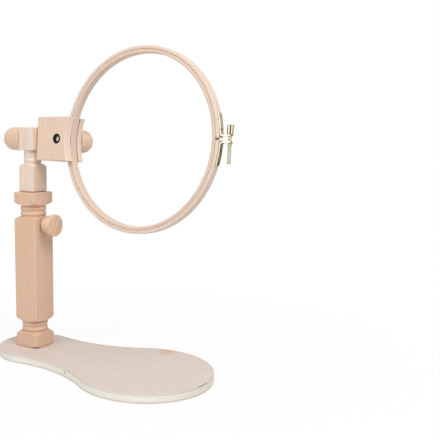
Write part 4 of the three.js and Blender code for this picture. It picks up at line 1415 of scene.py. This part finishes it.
class HOOPSTAND_OT_jaws(Operator):
    """Make the two jaws that grip the hoop's rim"""

    bl_idname = "hoop_stand.jaws"
    bl_label = "Jaws"

    def execute(self, context):
        woods = [wood("pale_beech_sanded"), wood("fresh_beech_sanded")]
        front, rear = with_pale_end(front_jaw()), with_pale_end(rear_jaw())
        finish_piece("front_jaw", front, clamp_frame(), woods, along=(0.02, 0, 1), seed=8)
        finish_piece("rear_jaw", rear, clamp_frame(), woods, along=(-0.03, 0, 1), seed=9)
        return {"FINISHED"}


class HOOPSTAND_OT_rings(Operator):
    """Make the hoop's outer and inner ring"""

    bl_idname = "hoop_stand.rings"
    bl_label = "Rings"

    def execute(self, context):
        p = hoop_places()
        inner = ring(p.inner_inside, p.split_radius - RING_SEAM)
        woods = [wood("bent_beech_sanded")]
        finish_piece("outer_ring", outer_ring(), hoop_frame(), woods, along=AROUND, seed=10)
        woods = [wood("inner_beech_handled")]
        finish_piece("inner_ring", inner, hoop_frame(), woods, along=AROUND, seed=11)
        return {"FINISHED"}


class HOOPSTAND_OT_brackets(Operator):
    """Make the strap brackets and their nails"""

    bl_idname = "hoop_stand.brackets"
    bl_label = "Brackets and nails"

    def execute(self, context):
        brass = [drawn_brass()]
        over = Matrix.Rotation(math.pi, 4, "X")
        straps = {"bracket_upper": bracket(), "bracket_lower": moved(bracket(), over)}
        for node, strap in straps.items():
            finish_piece(node, strap, hoop_frame(), brass, sheen_and_shade_at=bracket_sheen_and_shade(STRAP_SHADE[node]))
        for node, angle in nail_angles().items():
            finish_piece(node, nail(angle), hoop_frame(), brass, sheen_and_shade_at=even_sheen_and_shade(NAIL_SHADE[node]))
        return {"FINISHED"}


class HOOPSTAND_OT_tension(Operator):
    """Make the tension screw and its bush"""

    bl_idname = "hoop_stand.tension"
    bl_label = "Tension screw"

    def execute(self, context):
        brass = [drawn_brass()]
        finish_piece("tension_screw", tension_screw(), hoop_frame(), brass, sheen_and_shade_at=screw_sheen_and_shade)
        finish_piece("tension_nut", tension_nut(), hoop_frame(), brass, sheen_and_shade_at=even_sheen_and_shade(SHANK_WEAR))
        return {"FINISHED"}


# Stage

CAMERA_PLACE = Vector((494.9, -546.6, 235)) * MM
CAMERA_YAW = math.radians(35.2)
CAMERA_PITCH = math.radians(7.136)
PICTURE_WIDTH = 440
CAMERA_FOCUS = 700  # in widths of one pixel
CAMERA_SHIFT = 101.6  # the stand's middle lies this many pixels left of the frame's
ROOM_LIGHT = 0.46
LAMP_AIM = Vector((0.09, 0, 0.15))
FLOOR_MIDDLE = (0.09, 0, 0)
FLOOR_GREY = 0.82
FLOOR_HALF_SIDE = 20
FLOOR_DROP = 0.2 * MM
SHADOW_REACH = (0.14, 0.5)  # from here outwards the floor's shadow fades to white
SHADOW_SHARE = 0.07


def make_camera():
    """A camera at the picture's viewing angle."""
    data = bpy.data.cameras.new("photo_camera")
    data.lens = CAMERA_FOCUS / PICTURE_WIDTH * data.sensor_width
    data.shift_x = CAMERA_SHIFT / PICTURE_WIDTH
    camera = bpy.data.objects.new("photo_camera", data)
    turn = Matrix.Rotation(CAMERA_YAW, 4, "Z") @ Matrix.Rotation(math.pi / 2 - CAMERA_PITCH, 4, "X")
    camera.matrix_world = Matrix.Translation(CAMERA_PLACE) @ turn
    bpy.context.scene.collection.objects.link(camera)
    bpy.context.scene.camera = camera


def seen_directly(tree):
    """1 for rays that show the background: the camera's, and those mirrored or let through."""
    rays = add_node(tree, "LightPath").outputs
    both = {0: rays["Is Glossy Ray"], 1: rays["Is Transmission Ray"]}
    mirrored = add_node(tree, "Math", both, operation="MAXIMUM")
    return add_node(tree, "Math", {0: rays["Is Camera Ray"], 1: mirrored}, operation="MAXIMUM")


def make_world():
    """An even studio: white where it is seen, a soft grey where it lights."""
    world = bpy.data.worlds.new("white_studio")
    world.use_nodes = True
    tree = world.node_tree
    tree.nodes.clear()
    seen = {"Value": seen_directly(tree), "To Min": ROOM_LIGHT, "To Max": 1.0}
    strength = add_node(tree, "MapRange", seen)
    sky = add_node(tree, "Background", {"Color": (1, 1, 1, 1), "Strength": strength})
    add_node(tree, "OutputWorld", {"Surface": sky})
    bpy.context.scene.world = world


def paper_floor(tree):
    """Plain white paper that keeps the object's shadow near it."""
    paper = add_node(tree, "BsdfDiffuse", {"Color": toned([FLOOR_GREY] * 3)})
    glow = add_node(tree, "Emission", {"Color": (1, 1, 1, 1), "Strength": 1.0})
    place = add_node(tree, "TexCoord").outputs["Object"]
    away = add_node(tree, "VectorMath", {0: place, 1: FLOOR_MIDDLE}, operation="DISTANCE")
    near, far = SHADOW_REACH
    fade = {"From Min": near, "From Max": far, "To Min": 1 - SHADOW_SHARE, "To Max": 1.0}
    fade["Value"] = away.outputs["Value"]
    white = add_node(tree, "MapRange", fade, interpolation_type="SMOOTHSTEP")
    share = add_node(tree, "Math", {0: white, 1: seen_directly(tree)}, operation="MULTIPLY")
    return add_node(tree, "MixShader", {0: share, 1: paper, 2: glow})


def make_floor():
    """A plain white floor."""
    half = FLOOR_HALF_SIDE
    mesh = mesh_of([(-half, -half, 0), (half, -half, 0), (half, half, 0), (-half, half, 0)], [[0, 1, 2, 3]])
    floor = bpy.data.objects.new("floor", mesh)
    floor.location.z = -FLOOR_DROP
    bpy.context.scene.collection.objects.link(floor)
    mesh.materials.append(made_once("white_paper_floor", paper_floor))


def make_lamp(name, place, size, power):
    """A soft square lamp turned towards the object."""
    data = bpy.data.lights.new(name, "AREA")
    data.size = size
    data.energy = power
    lamp = bpy.data.objects.new(name, data)
    lamp.location = place
    lamp.rotation_mode = "QUATERNION"
    lamp.rotation_quaternion = (LAMP_AIM - Vector(place)).to_track_quat("-Z", "Y")
    bpy.context.scene.collection.objects.link(lamp)


class HOOPSTAND_OT_stage(Operator):
    """Make the floor, the light and the camera"""

    bl_idname = "hoop_stand.stage"
    bl_label = "Stage"

    def execute(self, context):
        make_camera()
        make_world()
        make_floor()
        make_lamp("key_lamp", (-0.2, -1.25, 0.95), size=0.9, power=7)
        make_lamp("fill_lamp", (0.85, -0.35, 1.2), size=0.8, power=12)
        context.scene.view_settings.view_transform = "Standard"
        return {"FINISHED"}


OPERATORS = (
    HOOPSTAND_OT_stage,
    HOOPSTAND_OT_board,
    HOOPSTAND_OT_base_screws,
    HOOPSTAND_OT_post,
    HOOPSTAND_OT_head,
    HOOPSTAND_OT_knobs,
    HOOPSTAND_OT_studs,
    HOOPSTAND_OT_inserts,
    HOOPSTAND_OT_jaws,
    HOOPSTAND_OT_rings,
    HOOPSTAND_OT_brackets,
    HOOPSTAND_OT_tension,
)

GROUPS = {
    "hoop_stand": StandSizes,
    "hoop_clamp": ClampSizes,
    "hoop_rings": HoopSizes,
    "hoop_finishes": Finishes,
}


class HOOPSTAND_PT_pieces(Panel):
    """Sizes, colours and pieces of the hoop stand"""

    bl_idname = "HOOPSTAND_PT_pieces"
    bl_label = "Hoop stand"
    bl_space_type = "VIEW_3D"
    bl_region_type = "UI"
    bl_category = "Hoop stand"

    def draw(self, context):
        column = self.layout.column()
        for operator in OPERATORS:
            column.operator(operator.bl_idname)
        for name, group in GROUPS.items():
            box = column.box()
            for value in group.__annotations__:
                box.prop(getattr(context.scene, name), value)


CLASSES = (*GROUPS.values(), *OPERATORS, HOOPSTAND_PT_pieces)


def register():
    """Adds the classes, and the sizes and colours to the scene."""
    for made in CLASSES:
        bpy.utils.register_class(made)
    for name, group in GROUPS.items():
        setattr(bpy.types.Scene, name, PointerProperty(type=group))


def unregister():
    """Takes the sizes, the colours and the classes away again."""
    for name in GROUPS:
        delattr(bpy.types.Scene, name)
    for made in reversed(CLASSES):
        bpy.utils.unregister_class(made)


def main():
    """Makes every piece and the stage."""
    register()
    for operator in OPERATORS:
        _, name = operator.bl_idname.split(".")
        getattr(bpy.ops.hoop_stand, name)()


if __name__ == "__main__":
    main()
